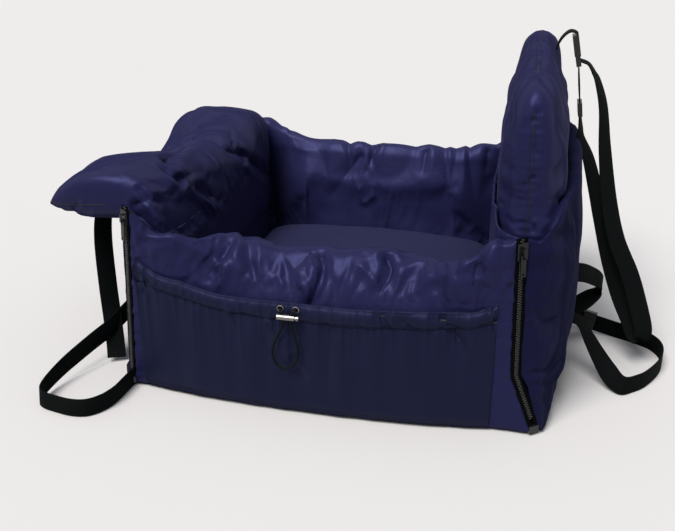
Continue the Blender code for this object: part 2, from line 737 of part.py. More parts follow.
# Route of the drawcord's free loop: out of the left eyelet, through the lock, round and back
DRAWCORD_ROUTE = (
    (-0.0350, -0.2586, 0.1475), (-0.0350, -0.2608, 0.1475), (-0.0346, -0.2639, 0.1470),
    (-0.0334, -0.2661, 0.1458), (-0.0315, -0.2670, 0.1442), (-0.0301, -0.2670, 0.1426),
    (-0.0300, -0.2670, 0.1390), (-0.0300, -0.2670, 0.1352), (-0.0308, -0.2668, 0.1300),
    (-0.0345, -0.2665, 0.1200), (-0.0400, -0.2662, 0.1090), (-0.0440, -0.2662, 0.0970),
    (-0.0450, -0.2662, 0.0880), (-0.0425, -0.2662, 0.0785), (-0.0365, -0.2662, 0.0722),
    (-0.0290, -0.2662, 0.0702), (-0.0220, -0.2662, 0.0730), (-0.0162, -0.2662, 0.0795),
    (-0.0135, -0.2662, 0.0890), (-0.0136, -0.2662, 0.0990), (-0.0160, -0.2663, 0.1110),
    (-0.0190, -0.2666, 0.1220), (-0.0206, -0.2669, 0.1300), (-0.0210, -0.2670, 0.1352),
    (-0.0210, -0.2670, 0.1390), (-0.0209, -0.2670, 0.1426), (-0.0195, -0.2670, 0.1442),
    (-0.0176, -0.2661, 0.1458), (-0.0164, -0.2639, 0.1470), (-0.0160, -0.2608, 0.1475),
    (-0.0160, -0.2586, 0.1475),
)


def build_drawcord():
    points = [catmull(DRAWCORD_ROUTE, step / CORD_STEPS) for step in range(CORD_STEPS + 1)]
    add_mesh("drawcord_loop", tube_mesh("drawcord_loop", points, CORD_DIAMETER), CORD)


def build_cord_lock():
    """A bored barrel, a slotted stem with a push button, and the spring behind it."""
    left = LOCK_X - LOCK_LENGTH / 2
    right = LOCK_X + LOCK_LENGTH / 2
    inside = left + LOCK_END_WALL
    barrel_path = [(left, LOCK_Y, LOCK_Z), (right, LOCK_Y, LOCK_Z)]
    barrel = tube_mesh("cord_lock_body", barrel_path, LOCK_DIAMETER, 4)
    body = add_mesh("cord_lock_body", barrel, METAL)
    over = LOCK_DIAMETER
    bore = tube_mesh("lock_bore", [(inside, LOCK_Y, LOCK_Z), (right + over, LOCK_Y, LOCK_Z)], LOCK_BORE, 4)
    combine(body, tool_object("lock_bore", bore), "DIFFERENCE")
    hole = CORD_DIAMETER + CORD_FIT * 2
    for side, x in (("left", LOCK_STRAND_LEFT_X), ("right", LOCK_STRAND_RIGHT_X)):
        name = "lock_hole_" + side
        path = [(x, LOCK_Y, LOCK_Z - over), (x, LOCK_Y, LOCK_Z + over)]
        combine(body, tool_object(name, tube_mesh(name, path, hole)), "DIFFERENCE")

    stem_left = LOCK_STRAND_LEFT_X - CORD_DIAMETER
    button_left = right + LOCK_PRESS + GAP
    stem_path = [(stem_left, LOCK_Y, LOCK_Z), (button_left + BUTTON_LENGTH / 2, LOCK_Y, LOCK_Z)]
    stem = tube_mesh("cord_lock_button", stem_path, LOCK_BORE - STEM_FIT * 2, 4)
    button = add_mesh("cord_lock_button", stem, METAL)
    cap_path = [(button_left, LOCK_Y, LOCK_Z), (button_left + BUTTON_LENGTH, LOCK_Y, LOCK_Z)]
    cap = tube_mesh("button_cap", cap_path, BUTTON_DIAMETER, 4)
    combine(button, tool_object("button_cap", cap), "UNION")
    slot_length = LOCK_STRAND_RIGHT_X - LOCK_STRAND_LEFT_X + CORD_DIAMETER + LOCK_PRESS + CORD_FIT * 2
    slot_x = LOCK_STRAND_LEFT_X - CORD_DIAMETER / 2 - CORD_FIT + slot_length / 2
    turn = Matrix.Translation((slot_x, LOCK_Y, LOCK_Z))
    slot = plate_mesh("stem_slot", [box_outline(slot_length, STEM_SLOT)], LOCK_DIAMETER * 2, turn)
    combine(button, tool_object("stem_slot", slot), "DIFFERENCE")

    spring_left = inside + LOCK_SPRING_WIRE / 2 + GAP / 3
    spring_right = stem_left - LOCK_SPRING_WIRE / 2 - GAP / 3
    radius = LOCK_BORE / 2 - LOCK_SPRING_WIRE / 2 - STEM_FIT
    count = LOCK_SPRING_TURNS * LOCK_SPRING_POINTS
    coil = []
    for step in range(count + 1):
        angle = math.tau * step / LOCK_SPRING_POINTS
        x = blend(spring_left, spring_right, step / count)
        coil.append((x, LOCK_Y + radius * math.cos(angle), LOCK_Z + radius * math.sin(angle)))
    add_mesh("cord_lock_spring", tube_mesh("cord_lock_spring", coil, LOCK_SPRING_WIRE, 1), METAL)


# Corner zips

def build_zip(side, end):
    """One corner zip: its two strips, a slider with its arch, a pull, and the box at the foot."""
    tag = ("front" if end == FRONT else "rear") + ("_left" if side == LEFT else "_right")
    across, outward = zip_axes(side, end)
    kinked = side == RIGHT and end == FRONT
    heights = [ZIP_TOP_Z, ZIP_KINK_Z, ZIP_FOOT_Z] if kinked else [ZIP_TOP_Z, ZIP_FOOT_Z]

    for strip, way in (("wall", -1), ("end", 1)):
        def place(u, v, way=way):
            z = heights[round((1 - u) / 2 * (len(heights) - 1))]
            offset = ZIP_SLOT / 2 + ZIP_TAPE_WIDTH * (v + 1) / 2
            return zip_point(side, end, z) + across * (way * offset)
        sheet(f"zip_{tag}_{strip}_tape", (len(heights) - 1, 1), place, ZIP_TAPE_THICK, ZIP_BLACK)

    centre = zip_point(side, end, SLIDER_Z)
    below = zip_point(side, end, SLIDER_Z - SLIDER_LENGTH)
    down = (below - centre).normalized()
    facing = across.cross(down).normalized()
    facing = facing if facing.dot(outward) > 0 else -facing
    sideways = facing.cross(-down).normalized()
    half_gap = ZIP_TAPE_THICK / 2 + GAP
    post = ZIP_SLOT / 2 - GAP
    near, far = half_gap, half_gap + SLIDER_PLATE
    half = SLIDER_WIDTH / 2
    profile = [(-half, near), (-post, near), (-post, -near), (-half, -near), (-half, -far), (half, -far),
               (half, -near), (post, -near), (post, near), (half, near), (half, far), (-half, far)]
    turn = frame_matrix(sideways, facing, sideways.cross(facing), centre)
    slider = add_mesh(f"zip_{tag}_slider", plate_mesh("slider", [profile], SLIDER_LENGTH, turn), ZIP_METAL)

    arch_base = far - SLIDER_PLATE / 2
    arch_top = far + ARCH_HEIGHT
    arch = box_outline(ARCH_LENGTH, arch_top - arch_base, 0, (arch_top + arch_base) / 2)
    eye_height = ARCH_HEIGHT - ARCH_WALL
    eye = box_outline(ARCH_LENGTH - ARCH_WALL * 2, eye_height, 0, far + eye_height / 2)
    arch_turn = frame_matrix(down, facing, down.cross(facing), centre)
    tool = tool_object(f"arch_{tag}", plate_mesh("arch", [arch, eye], ARCH_WIDTH, arch_turn))
    combine(slider, tool, "UNION")

    pivot_down = ARCH_LENGTH / 2 - ARCH_WALL - PULL_THICK / 2 - GAP
    pivot_out = far + GAP * 2 + PULL_THICK / 2
    pivot = centre + down * pivot_down + facing * pivot_out
    top, length = PULL_THICK / 2, PULL_THICK / 2 + PULL_LENGTH
    outline = box_outline(PULL_WIDTH, length, 0, top - length / 2)
    opening = box_outline(PULL_EYE_WIDTH, PULL_EYE_LENGTH, 0, -top - PULL_EYE_LENGTH / 2)
    tip_y = PULL_TIP_EYE * 2 - PULL_LENGTH
    turns = [math.tau * step / PULL_TIP_SIDES for step in range(PULL_TIP_SIDES)]
    tip = [(PULL_TIP_EYE * math.cos(turn), tip_y + PULL_TIP_EYE * math.sin(turn)) for turn in turns]
    pull_turn = frame_matrix(sideways, -down, facing, pivot)
    plate = plate_mesh("pull", [outline, opening, tip], PULL_THICK, pull_turn)
    pull = add_mesh(f"zip_{tag}_pull", plate, ZIP_METAL)
    set_origin(pull, pivot)
    set_origin(slider, centre)

    foot = zip_point(side, end, ZIP_FOOT_Z)
    foot.z -= GAP + ZIP_BOX_HEIGHT / 2
    up = Vector((0, 0, 1))
    box_turn = frame_matrix(outward.cross(up), outward, up, foot)
    block = plate_mesh("box", [box_outline(ZIP_BOX_WIDTH, ZIP_BOX_DEPTH)], ZIP_BOX_HEIGHT, box_turn)
    add_mesh(f"zip_{tag}_box", block, ZIP_BLACK)


# Headrest strap, buckle and adjusters

# Tab route: shares of the buckle's length out and up from the top of the buckle
TAB_SHARES = (
    (-0.865, -0.710), (-0.750, -0.346), (-0.558, -0.038), (-0.288, 0.180), (-0.038, 0.165), (0.115, 0.075),
)
# Headrest strap route: shares of the corner height out from the clip's slot, of the tub's width along,
# and up through three spans: ground to sleeve mouth, mouth to the clip's foot, foot to its slot
HEADREST_SHARES = (
    (0.0000, 0.000, 1.0000), (0.0205, 0.000, 0.9899), (0.0551, -0.002, 0.8991), (0.0850, -0.011, 0.6654),
    (0.1117, -0.021, 0.6249), (0.1511, -0.036, 0.5192), (0.1826, -0.057, 0.3429), (0.2298, -0.102, 0.2618),
    (0.2864, -0.145, 0.2047), (0.3745, -0.170, 0.1522), (0.4343, -0.191, 0.1059), (0.4737, -0.209, 0.0689),
    (0.4658, -0.213, 0.0525), (0.4343, -0.204, 0.0557), (0.4029, -0.183, 0.0740), (0.3383, -0.153, 0.1105),
    (0.2707, -0.128, 0.1621), (0.2109, -0.098, 0.2192), (0.1589, -0.060, 0.2702), (0.1070, -0.021, 0.3157),
    (0.0567, 0.000, 0.3664), (0.0488, 0.000, 0.4160), (0.0346, 0.000, 0.5022), (0.0205, 0.000, 0.5884),
    (0.0126, 0.000, 0.6393), (0.0063, 0.000, 0.7680),
)
HEADREST_SIDES = ((0, 1, 0), (0, 1, 0), (0.1, 1, 0), (0.35, 0.9, 0.1), (0.75, 0.6, 0.1), (0.85, 0.5, 0),
                  (0.8, 0.5, 0), (0.5, 0.8, 0), (0.1, 1, 0), (0, 1, 0), (0, 1, 0))
# Which of that route's points start and end the straight run that the adjuster slides on
HEADREST_RUN = (-3, -5)

# Hanging strap route: shares of the corner height out, of the width along, of its sewn end's height up
LEFT_HANG_SHARES = (
    (0.004, -0.302, 1.000), (0.038, -0.304, 0.926), (0.050, -0.311, 0.749), (0.044, -0.319, 0.468),
    (0.034, -0.319, 0.253), (0.020, -0.315, 0.103), (0.016, -0.313, 0.037),
)
LEFT_HANG_SIDES = ((0.1, 1.0, 0), (0.2, 1.0, 0), (0.3, 1.0, 0), (0.3, 1.0, 0))
# Base strap routes: shares of the corner height out from an end's face and up, of the width along
LEFT_BASE_SHARES = (
    (-0.023, -0.226, 0.174), (-0.022, -0.262, 0.168), (-0.010, -0.315, 0.150), (0.006, -0.362, 0.130),
    (0.060, -0.438, 0.096), (0.122, -0.532, 0.050), (0.148, -0.606, 0.018), (0.140, -0.651, 0.006),
    (0.100, -0.672, 0.004), (0.028, -0.683, 0.004), (-0.068, -0.691, 0.004), (-0.148, -0.683, 0.004),
    (-0.204, -0.651, 0.004), (-0.228, -0.606, 0.004), (-0.220, -0.557, 0.004), (-0.180, -0.517, 0.004),
)
LEFT_BASE_SIDES = ((-0.16, 0, 1), (-0.12, 0, 1), (0.1, 0, 1), (0.1, 0, 1), (0, 0, 1), (0, 0, 1))
RIGHT_BASE_SHARES = (
    (-0.010, -0.181, 0.310), (0.044, -0.185, 0.286), (0.096, -0.189, 0.202), (0.148, -0.198, 0.122),
    (0.200, -0.213, 0.054), (0.244, -0.234, 0.014), (0.288, -0.249, 0.005), (0.344, -0.230, 0.004),
    (0.404, -0.196, 0.004), (0.476, -0.128, 0.004), (0.512, -0.064, 0.004), (0.508, -0.009, 0.004),
    (0.464, 0.034, 0.004), (0.380, 0.064, 0.004), (0.324, 0.079, 0.005), (0.276, 0.086, 0.010),
    (0.228, 0.091, 0.018), (0.132, 0.102, 0.034), (0.036, 0.113, 0.050), (-0.035, 0.121, 0.062),
)
RIGHT_BASE_SIDES = ((0.04, 1, 0), (0.4, 0.8, 0.4), (0.3, 0.3, 0.9), (0, 0, 1), (0, 0, 1), (0, 0, 1),
                    (0, 0, 1), (0, 0, 1))
RIGHT_BASE_RUN = (-4, -2)
SLING_SHARES = (
    (-0.002, -0.128, 0.518), (0.052, -0.085, 0.482), (0.104, -0.038, 0.430), (0.148, 0.000, 0.382),
    (0.164, 0.021, 0.342), (0.148, 0.021, 0.302), (0.104, 0.004, 0.270), (0.052, -0.021, 0.246),
    (-0.013, -0.047, 0.230),
)
SLING_SIDES = ((0, 0.5, 0.9), (0.1, 0.7, 0.7), (0.1, 1, 0.2), (0.1, 0.9, 0.5), (0.1, 0.8, 0.6))


def base_strap_route(side, shares):
    """Places a base strap's points from an end's face, standing at least on the webbing's edge."""
    return [Vector((side * (SLEEVE_REACH + out * CORNER_HEIGHT), along * TUB_WIDTH,
                    WEBBING_WIDTH / 2 + up * CORNER_HEIGHT)) for out, along, up in shares]


def build_adjuster(name, start, stop, side):
    """A slide adjuster round the middle of a strap's straight run."""
    along = (stop - start).normalized()
    facing = Vector(side).cross(along).normalized()
    turn = frame_matrix(facing.cross(along), facing, -along, (start + stop) / 2)
    outline = box_outline(ADJUSTER_WIDTH, ADJUSTER_DEPTH)
    hole = box_outline(WEBBING_WIDTH + GAP * 2, WEBBING_THICK + GAP * 2)
    adjuster = add_mesh(name, plate_mesh(name, [outline, hole], ADJUSTER_LENGTH, turn), PLASTIC)
    set_origin(adjuster, (start + stop) / 2)


def build_headrest():
    """The tab on the pillow's crest, the buckle's socket and clip, the long strap and its adjuster."""
    across = Vector((0, 1, 0))
    up = Vector((-math.sin(BUCKLE_LEAN), 0, math.cos(BUCKLE_LEAN)))
    outward = across.cross(up)
    top = Vector((BUCKLE_X, STRAP_Y, BUCKLE_TOP_Z))
    tab_route = [top + Vector((out, 0, rise)) * BUCKLE_LENGTH for out, rise in TAB_SHARES]
    webbing("headrest_tab", tab_route, (across, across), WEB, steps=14)

    centre = top - up * (BUCKLE_LENGTH / 2)
    inner_width = BUCKLE_WIDTH - BUCKLE_WALL * 2
    inner_depth = BUCKLE_DEPTH - BUCKLE_WALL * 2
    turn = frame_matrix(across, -outward, up, centre)
    shell = plate_mesh("socket", [box_outline(BUCKLE_WIDTH, BUCKLE_DEPTH)], BUCKLE_LENGTH, turn)
    socket = add_mesh("headrest_buckle_socket", shell, PLASTIC)
    turn.translation = centre - up * (BUCKLE_BAR * 2)
    cavity = plate_mesh("socket_cavity", [box_outline(inner_width, inner_depth)], BUCKLE_LENGTH, turn)
    combine(socket, tool_object("socket_cavity", cavity), "DIFFERENCE")
    slot_turn = frame_matrix(across, up, outward, centre + up * (BUCKLE_LENGTH / 2 - BUCKLE_BAR))
    web_slot = box_outline(WEBBING_WIDTH + GAP * 3, BUCKLE_BAR)
    slot = plate_mesh("socket_slot", [web_slot], BUCKLE_DEPTH * 2, slot_turn)
    combine(socket, tool_object("socket_slot", slot), "DIFFERENCE")

    body_height = CLIP_LENGTH - CLIP_REACH
    body_top = centre - up * (BUCKLE_LENGTH / 2 + GAP)
    clip_turn = frame_matrix(across, up, outward, body_top - up * (body_height / 2))
    body = box_outline(BUCKLE_WIDTH, body_height)
    slot_rise = CLIP_BAR + CLIP_SLOT / 2 - body_height / 2
    web_slot = box_outline(WEBBING_WIDTH + GAP * 3, CLIP_SLOT, 0, slot_rise)
    block = plate_mesh("clip", [body, web_slot], BUCKLE_DEPTH - BUCKLE_WALL, clip_turn)
    clip = add_mesh("headrest_buckle_clip", block, PLASTIC)
    tongue_turn = clip_turn.copy()
    tongue_turn.translation = body_top + up * ((CLIP_REACH - BUCKLE_BAR) / 2)
    tongue_outline = box_outline(inner_width - GAP * 4, CLIP_REACH)
    tongue = plate_mesh("clip_tongue", [tongue_outline], inner_depth - GAP * 4, tongue_turn)
    combine(clip, tool_object("clip_tongue", tongue), "UNION")

    slot_place = body_top + up * (slot_rise - body_height / 2)
    levels = (0, SLEEVE_MOUTH_Z, slot_place.z - body_height, slot_place.z)
    route = [Vector((slot_place.x + out * CORNER_HEIGHT, STRAP_Y + along * TUB_WIDTH,
                     table_value(levels, rise))) for out, along, rise in HEADREST_SHARES]
    webbing("headrest_strap", route, HEADREST_SIDES, WEB, steps=46)
    first, last = HEADREST_RUN
    build_adjuster("headrest_adjuster", route[first], route[last], across)


# Base straps

def build_base_straps():
    """The short straps sewn to the tub's ends and to the folded pillow, and the right one's adjuster."""
    hang = [Vector((-SLEEVE_REACH - out * CORNER_HEIGHT, along * TUB_WIDTH, rise * LEFT_HANG_TOP_Z))
            for out, along, rise in LEFT_HANG_SHARES]
    hanging = webbing("left_hanging_strap", hang, LEFT_HANG_SIDES, WEB, steps=16)
    set_origin(hanging, hang[0] + Vector((WEBBING_THICK / 2, 0, 0)))
    webbing("left_base_strap", base_strap_route(LEFT, LEFT_BASE_SHARES), LEFT_BASE_SIDES, WEB, steps=34)
    right = base_strap_route(RIGHT, RIGHT_BASE_SHARES)
    webbing("right_base_strap", right, RIGHT_BASE_SIDES, WEB, steps=42)
    webbing("right_sling_strap", base_strap_route(RIGHT, SLING_SHARES), SLING_SIDES, WEB, steps=20)
    first, last = RIGHT_BASE_RUN
    build_adjuster("right_base_adjuster", right[first], right[last], Vector((0, 0, 1)))


clear_scene()
PARTS = new_collection(PARTS_NAME)
TOOLS = new_collection(TOOLS_NAME)
SATIN = material("satin_nylon", NAVY, 0.38)
FLAT_SATIN = material("satin_nylon_flat", NAVY_FLAT, 0.5)
BOARD = material("board", BOARD_GREY, 0.7)
WEB = material("webbing", BLACK_WEB, 0.8)
ZIP_BLACK = material("zip_black", BLACK_ZIP, 0.45)
ZIP_METAL = material("zip_metal", BLACK_ZIP, 0.35, 0.6)
METAL = material("gunmetal", GUNMETAL, 0.25, 1.0)
CORD = material("elastic_cord", CORD_BLACK, 0.7)
PLASTIC = material("buckle_plastic", BLACK_ZIP, 0.4)

build_base()
build_long_wall("front_wall", FRONT)
build_long_wall("rear_wall", REAR)
build_cushion()
build_sleeve_outer("left_sleeve_outer", LEFT, LEFT_TOP_Z + LEFT_OUTER_RISE, LEFT_MOUTH_POWER)
build_sleeve_outer("right_sleeve_outer", RIGHT, SLEEVE_MOUTH_Z, RIGHT_MOUTH_POWER)
build_sleeve_inner("left_sleeve_inner", LEFT, LEFT_TOP_Z - LEFT_INNER_DROP)
build_sleeve_inner("right_sleeve_inner", RIGHT, CORNER_HEIGHT)
build_backrest()
build_left_pillow_foot()
build_flap()
build_pocket()
build_drawcord()
build_cord_lock()
for tub_side in (LEFT, RIGHT):
    for tub_end in (FRONT, REAR):
        build_zip(tub_side, tub_end)
build_headrest()
build_base_straps()
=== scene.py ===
"""The looks of the padded dog car seat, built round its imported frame.

The satin panels and pillows are stuffed in a short cloth simulation, and the folds that the
photograph shows are then pressed into them. Lengths are metres, +X is the backrest's end and -Y
the pocket's side. Pixel places are in the photograph's 675 x 531 frame.
"""
import math

import bmesh
import bpy
import numpy as np
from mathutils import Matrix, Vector
from mathutils.bvhtree import BVHTree


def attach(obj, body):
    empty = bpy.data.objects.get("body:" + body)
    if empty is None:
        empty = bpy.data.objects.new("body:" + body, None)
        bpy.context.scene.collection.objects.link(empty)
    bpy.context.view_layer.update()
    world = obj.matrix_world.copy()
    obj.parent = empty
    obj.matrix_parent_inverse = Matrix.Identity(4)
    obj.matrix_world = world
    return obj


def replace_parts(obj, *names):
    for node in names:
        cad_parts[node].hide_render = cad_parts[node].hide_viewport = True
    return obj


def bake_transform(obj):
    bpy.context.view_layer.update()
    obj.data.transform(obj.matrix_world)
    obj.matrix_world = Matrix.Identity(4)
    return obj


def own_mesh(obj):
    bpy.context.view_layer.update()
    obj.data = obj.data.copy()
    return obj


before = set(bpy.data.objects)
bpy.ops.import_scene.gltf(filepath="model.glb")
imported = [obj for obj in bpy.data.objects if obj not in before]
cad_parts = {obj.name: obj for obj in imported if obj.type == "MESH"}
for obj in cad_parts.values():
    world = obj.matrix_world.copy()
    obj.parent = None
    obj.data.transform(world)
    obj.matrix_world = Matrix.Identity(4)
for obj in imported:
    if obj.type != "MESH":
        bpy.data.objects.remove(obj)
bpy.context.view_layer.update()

LEFT, RIGHT = -1, 1
FRONT, REAR = -1, 1

# Camera, matched to the photograph
PHOTO_WIDTH, PHOTO_HEIGHT = 675, 531
CAMERA_PLACE = (0.236, -1.125, 0.593)
CAMERA_TURN = math.radians(13.15)
CAMERA_DIP = math.radians(23.4)
CAMERA_FOCUS_PIXELS = 855.0
SENSOR_WIDTH_MM = 36.0

# Tub
HALF_LENGTH = 0.235
HALF_WIDTH = 0.235
CORNER_HEIGHT = 0.250
FOOT_Z = 0.0040
WALL_STATIONS = 128
WALL_GIRTH = 96
WALL_HALF = 0.0270
WALL_END_HALF = 0.0075
WALL_FULL_X = 0.115
WALL_THIN_X = 0.192
WALL_EDGE_RUN = 0.012
WALL_EDGE_STAND = 0.0035
WALL_BULGE = 0.0055
WALL_BULGE_TOP = 0.2
WALL_INNER_BULGE = 0.010
WALL_BELLY_FOOT = 0.05
WALL_BELLY_RISE = 0.17
WALL_CREST_SLOPE = 0.020
WALL_SLOPE_FOOT = 0.120
# Height of a wall's top along X
FRONT_RIDGE_X = (-0.235, -0.222, -0.205, -0.185, -0.155, -0.110, -0.070, -0.025, 0.030, 0.080, 0.150, 0.172,
                 0.190, 0.207, 0.222, 0.235)
FRONT_RIDGE_Z = (0.247, 0.233, 0.219, 0.218, 0.212, 0.211, 0.206, 0.204, 0.207, 0.210, 0.208, 0.214, 0.229,
                 0.240, 0.246, 0.249)
REAR_RIDGE_X = (-0.235, -0.215, -0.179, -0.142, -0.092, -0.040, 0.000, 0.068, 0.130, 0.167, 0.195, 0.220,
                0.235)
REAR_RIDGE_Z = (0.249, 0.250, 0.243, 0.229, 0.223, 0.221, 0.221, 0.223, 0.226, 0.230, 0.238, 0.247, 0.250)

# Zips
ZIP_LEAN = 0.015
KINK_Z = 0.079
KINK_SHIFT = 0.007
KINK_LEAN = 0.031
ZIP_TURN = math.radians(35)
ZIP_HALF_SPAN = 0.0072
ZIP_FOOT_Z = 0.0140
ZIP_TAPE_SHOWN = 0.0056
TAPE_HALF_THICK = 0.0004
TAPE_INNER = 0.0014
TOOTH_PITCH = 0.0031
TOOTH_LENGTH = 0.0036
TOOTH_HEIGHT = 0.0019
TOOTH_HALF_THICK = 0.00125

# Sleeves
SLEEVE_STATIONS = 132
SLEEVE_GIRTH = 92
SLEEVE_REACH = 0.305
SLEEVE_FOOT_REACH = 0.287
SLEEVE_MOUTH_REACH = 0.299
SLEEVE_HALF = 0.0070
SLEEVE_EDGE_HALF = 0.0030
# How square a sleeve's plan is: the powers of its half ring's cosine and sine
RIGHT_PLAN_POWERS = (0.667, 0.667)
LEFT_PLAN_POWERS = (2.0, 1.0)
# A sleeve's mouth height from its front zip round to its rear zip
MOUTH_TURNS = (-1.0, -0.94, -0.86, -0.74, -0.60, -0.35, 0.0, 0.35, 0.60, 0.80, 1.0)
RIGHT_MOUTH_Z = (0.250, 0.247, 0.252, 0.266, 0.280, 0.290, 0.291, 0.288, 0.276, 0.262, 0.250)
LEFT_MOUTH_Z = (0.250, 0.240, 0.228, 0.2185, 0.2150, 0.2140, 0.2140, 0.2140, 0.2150, 0.224, 0.249)

# Cabin panels: mouth heights from the front zip round to the rear zip
CABIN_STATIONS = 220
CABIN_GIRTH = 72
# How far from the middle the left and the right panel stand
CABIN_X = {LEFT: 0.1893, RIGHT: 0.1965}
CABIN_START_X = 0.2330
CABIN_HALF_WIDTH = 0.2240
CABIN_HALF = 0.0017
CABIN_FOOT_Z = 0.0060
CABIN_PLAN_POWERS = (0.42, 0.42)
CABIN_TURNS = (-1.0, -0.9, -0.8, -0.65, -0.4, 0.0, 0.4, 0.65, 0.8, 0.9, 1.0)
RIGHT_CABIN_Z = (0.250, 0.252, 0.258, 0.268, 0.277, 0.280, 0.277, 0.268, 0.258, 0.252, 0.250)
LEFT_CABIN_Z = (0.236, 0.228, 0.218, 0.210, 0.2085, 0.2085, 0.2085, 0.210, 0.218, 0.228, 0.236)

# Pillows: side profiles as (x, z) from the tip or crest to the foot, along the upper and the lower side
PILLOW_HALF_WIDTH = 0.213
PILLOW_POWER = 5.0
PILLOW_GIRTH = 196
PILLOW_STATIONS = 116
# A backrest's crest falls by this much over the last run before each end
SHOULDER_DROP = 0.034
SHOULDER_RUN = 0.055
BACKREST_CABIN_SIDE = ((0.2350, 0.4190), (0.2240, 0.4160), (0.2130, 0.4060), (0.2070, 0.3880),
                       (0.2040, 0.3600), (0.2035, 0.3200), (0.2035, 0.2800), (0.2030, 0.2300),
                       (0.2000, 0.1600), (0.1990, 0.0900), (0.2030, 0.0350), (0.2120, 0.0090),
                       (0.2395, 0.0045))
BACKREST_OUTER_SIDE = ((0.2350, 0.4190), (0.2460, 0.4160), (0.2580, 0.4060), (0.2660, 0.3880),
                       (0.2710, 0.3600), (0.2740, 0.3200), (0.2770, 0.2800), (0.2790, 0.2300),
                       (0.2790, 0.1600), (0.2785, 0.0900), (0.2750, 0.0350), (0.2670, 0.0090),
                       (0.2395, 0.0045))
LEFT_NEAR_OVER = ((-0.3530, 0.2400), (-0.3480, 0.2530), (-0.3330, 0.2710), (-0.3090, 0.2850),
                  (-0.2790, 0.2920), (-0.2490, 0.2920), (-0.2240, 0.2840), (-0.2040, 0.2660),
                  (-0.1910, 0.2420), (-0.1840, 0.2150), (-0.1835, 0.1880), (-0.1840, 0.1500),
                  (-0.1850, 0.1150), (-0.1960, 0.0960), (-0.2250, 0.0900))
LEFT_NEAR_UNDER = ((-0.3530, 0.2400), (-0.3460, 0.2260), (-0.3270, 0.2140), (-0.3000, 0.2100),
                   (-0.2700, 0.2130), (-0.2560, 0.2130), (-0.2500, 0.2060), (-0.2490, 0.1900),
                   (-0.2490, 0.1500), (-0.2470, 0.1150), (-0.2400, 0.0960), (-0.2250, 0.0900))
LEFT_MID_OVER = ((-0.3640, 0.1960), (-0.3580, 0.2070), (-0.3420, 0.2170), (-0.3150, 0.2250),
                 (-0.2880, 0.2350), (-0.2620, 0.2500), (-0.2350, 0.2610), (-0.2120, 0.2590),
                 (-0.1950, 0.2440), (-0.1850, 0.2210), (-0.1835, 0.1950), (-0.1840, 0.1550),
                 (-0.1850, 0.1150), (-0.1970, 0.0960), (-0.2395, 0.0900))
LEFT_MID_UNDER = ((-0.3640, 0.1960), (-0.3560, 0.1880), (-0.3400, 0.1900), (-0.3200, 0.1990),
                  (-0.3060, 0.2110), (-0.2900, 0.2150), (-0.2815, 0.2080), (-0.2820, 0.1900),
                  (-0.2830, 0.1500), (-0.2780, 0.1150), (-0.2660, 0.0960), (-0.2395, 0.0900))
LEFT_FAR_OVER = ((-0.3740, 0.1680), (-0.3690, 0.1800), (-0.3600, 0.1990), (-0.3460, 0.2220),
                 (-0.3320, 0.2440), (-0.3190, 0.2650), (-0.3030, 0.2760), (-0.2680, 0.2780),
                 (-0.2285, 0.2770), (-0.2050, 0.2720), (-0.1900, 0.2560), (-0.1855, 0.2260),
                 (-0.1840, 0.1900), (-0.1840, 0.1500), (-0.1850, 0.1150), (-0.1960, 0.0960),
                 (-0.2250, 0.0900))
LEFT_FAR_UNDER = ((-0.3740, 0.1680), (-0.3690, 0.1620), (-0.3540, 0.1740), (-0.3260, 0.1990),
                  (-0.2900, 0.2130), (-0.2620, 0.2130), (-0.2520, 0.2060), (-0.2490, 0.1900),
                  (-0.2490, 0.1500), (-0.2470, 0.1150), (-0.2400, 0.0960), (-0.2250, 0.0900))
CUSHION_HALF_WIDTH = 0.1765
CUSHION_OVER = ((-0.1800, 0.0500), (-0.1770, 0.0740), (-0.1640, 0.0890), (-0.1200, 0.0970), (0.0000, 0.1005),
                (0.1200, 0.0970), (0.1680, 0.0890), (0.1825, 0.0740), (0.1860, 0.0500))
CUSHION_UNDER = ((-0.1800, 0.0500), (-0.1740, 0.0160), (-0.1540, 0.0090), (-0.1050, 0.0080), (0.0000, 0.0080),
                 (0.1050, 0.0080), (0.1560, 0.0090), (0.1790, 0.0160), (0.1860, 0.0500))

# Pocket: its hem's top edge and the seam under the hem, by height along X
POCKET_LEFT = -0.2275
POCKET_RIGHT = 0.2155
POCKET_STATIONS = 420
POCKET_FOOT_Z = 0.0055
HEM_TOP_X = (-0.2275, -0.210, -0.196, -0.164, -0.145, -0.126, -0.079, -0.045, -0.009, 0.030, 0.089, 0.151,
             0.199, 0.2155)
HEM_TOP_Z = (0.184, 0.175, 0.168, 0.163, 0.159, 0.155, 0.1525, 0.1530, 0.1530, 0.1525, 0.1540, 0.1575, 0.163,
             0.171)
HEM_SEAM_X = (-0.2275, -0.207, -0.189, -0.163, -0.126, -0.087, -0.059, -0.012, 0.041, 0.107, 0.162, 0.203,
              0.2155)
HEM_SEAM_Z = (0.155, 0.150, 0.1455, 0.1410, 0.1345, 0.1310, 0.1300, 0.1300, 0.1305, 0.1325, 0.1380,
              0.1450, 0.150)
HEM_BULGE = 0.0042
CLOTH_THICK = 0.0007
HEM_ROUND = 0.0020
STITCH_PITCH = 0.0030

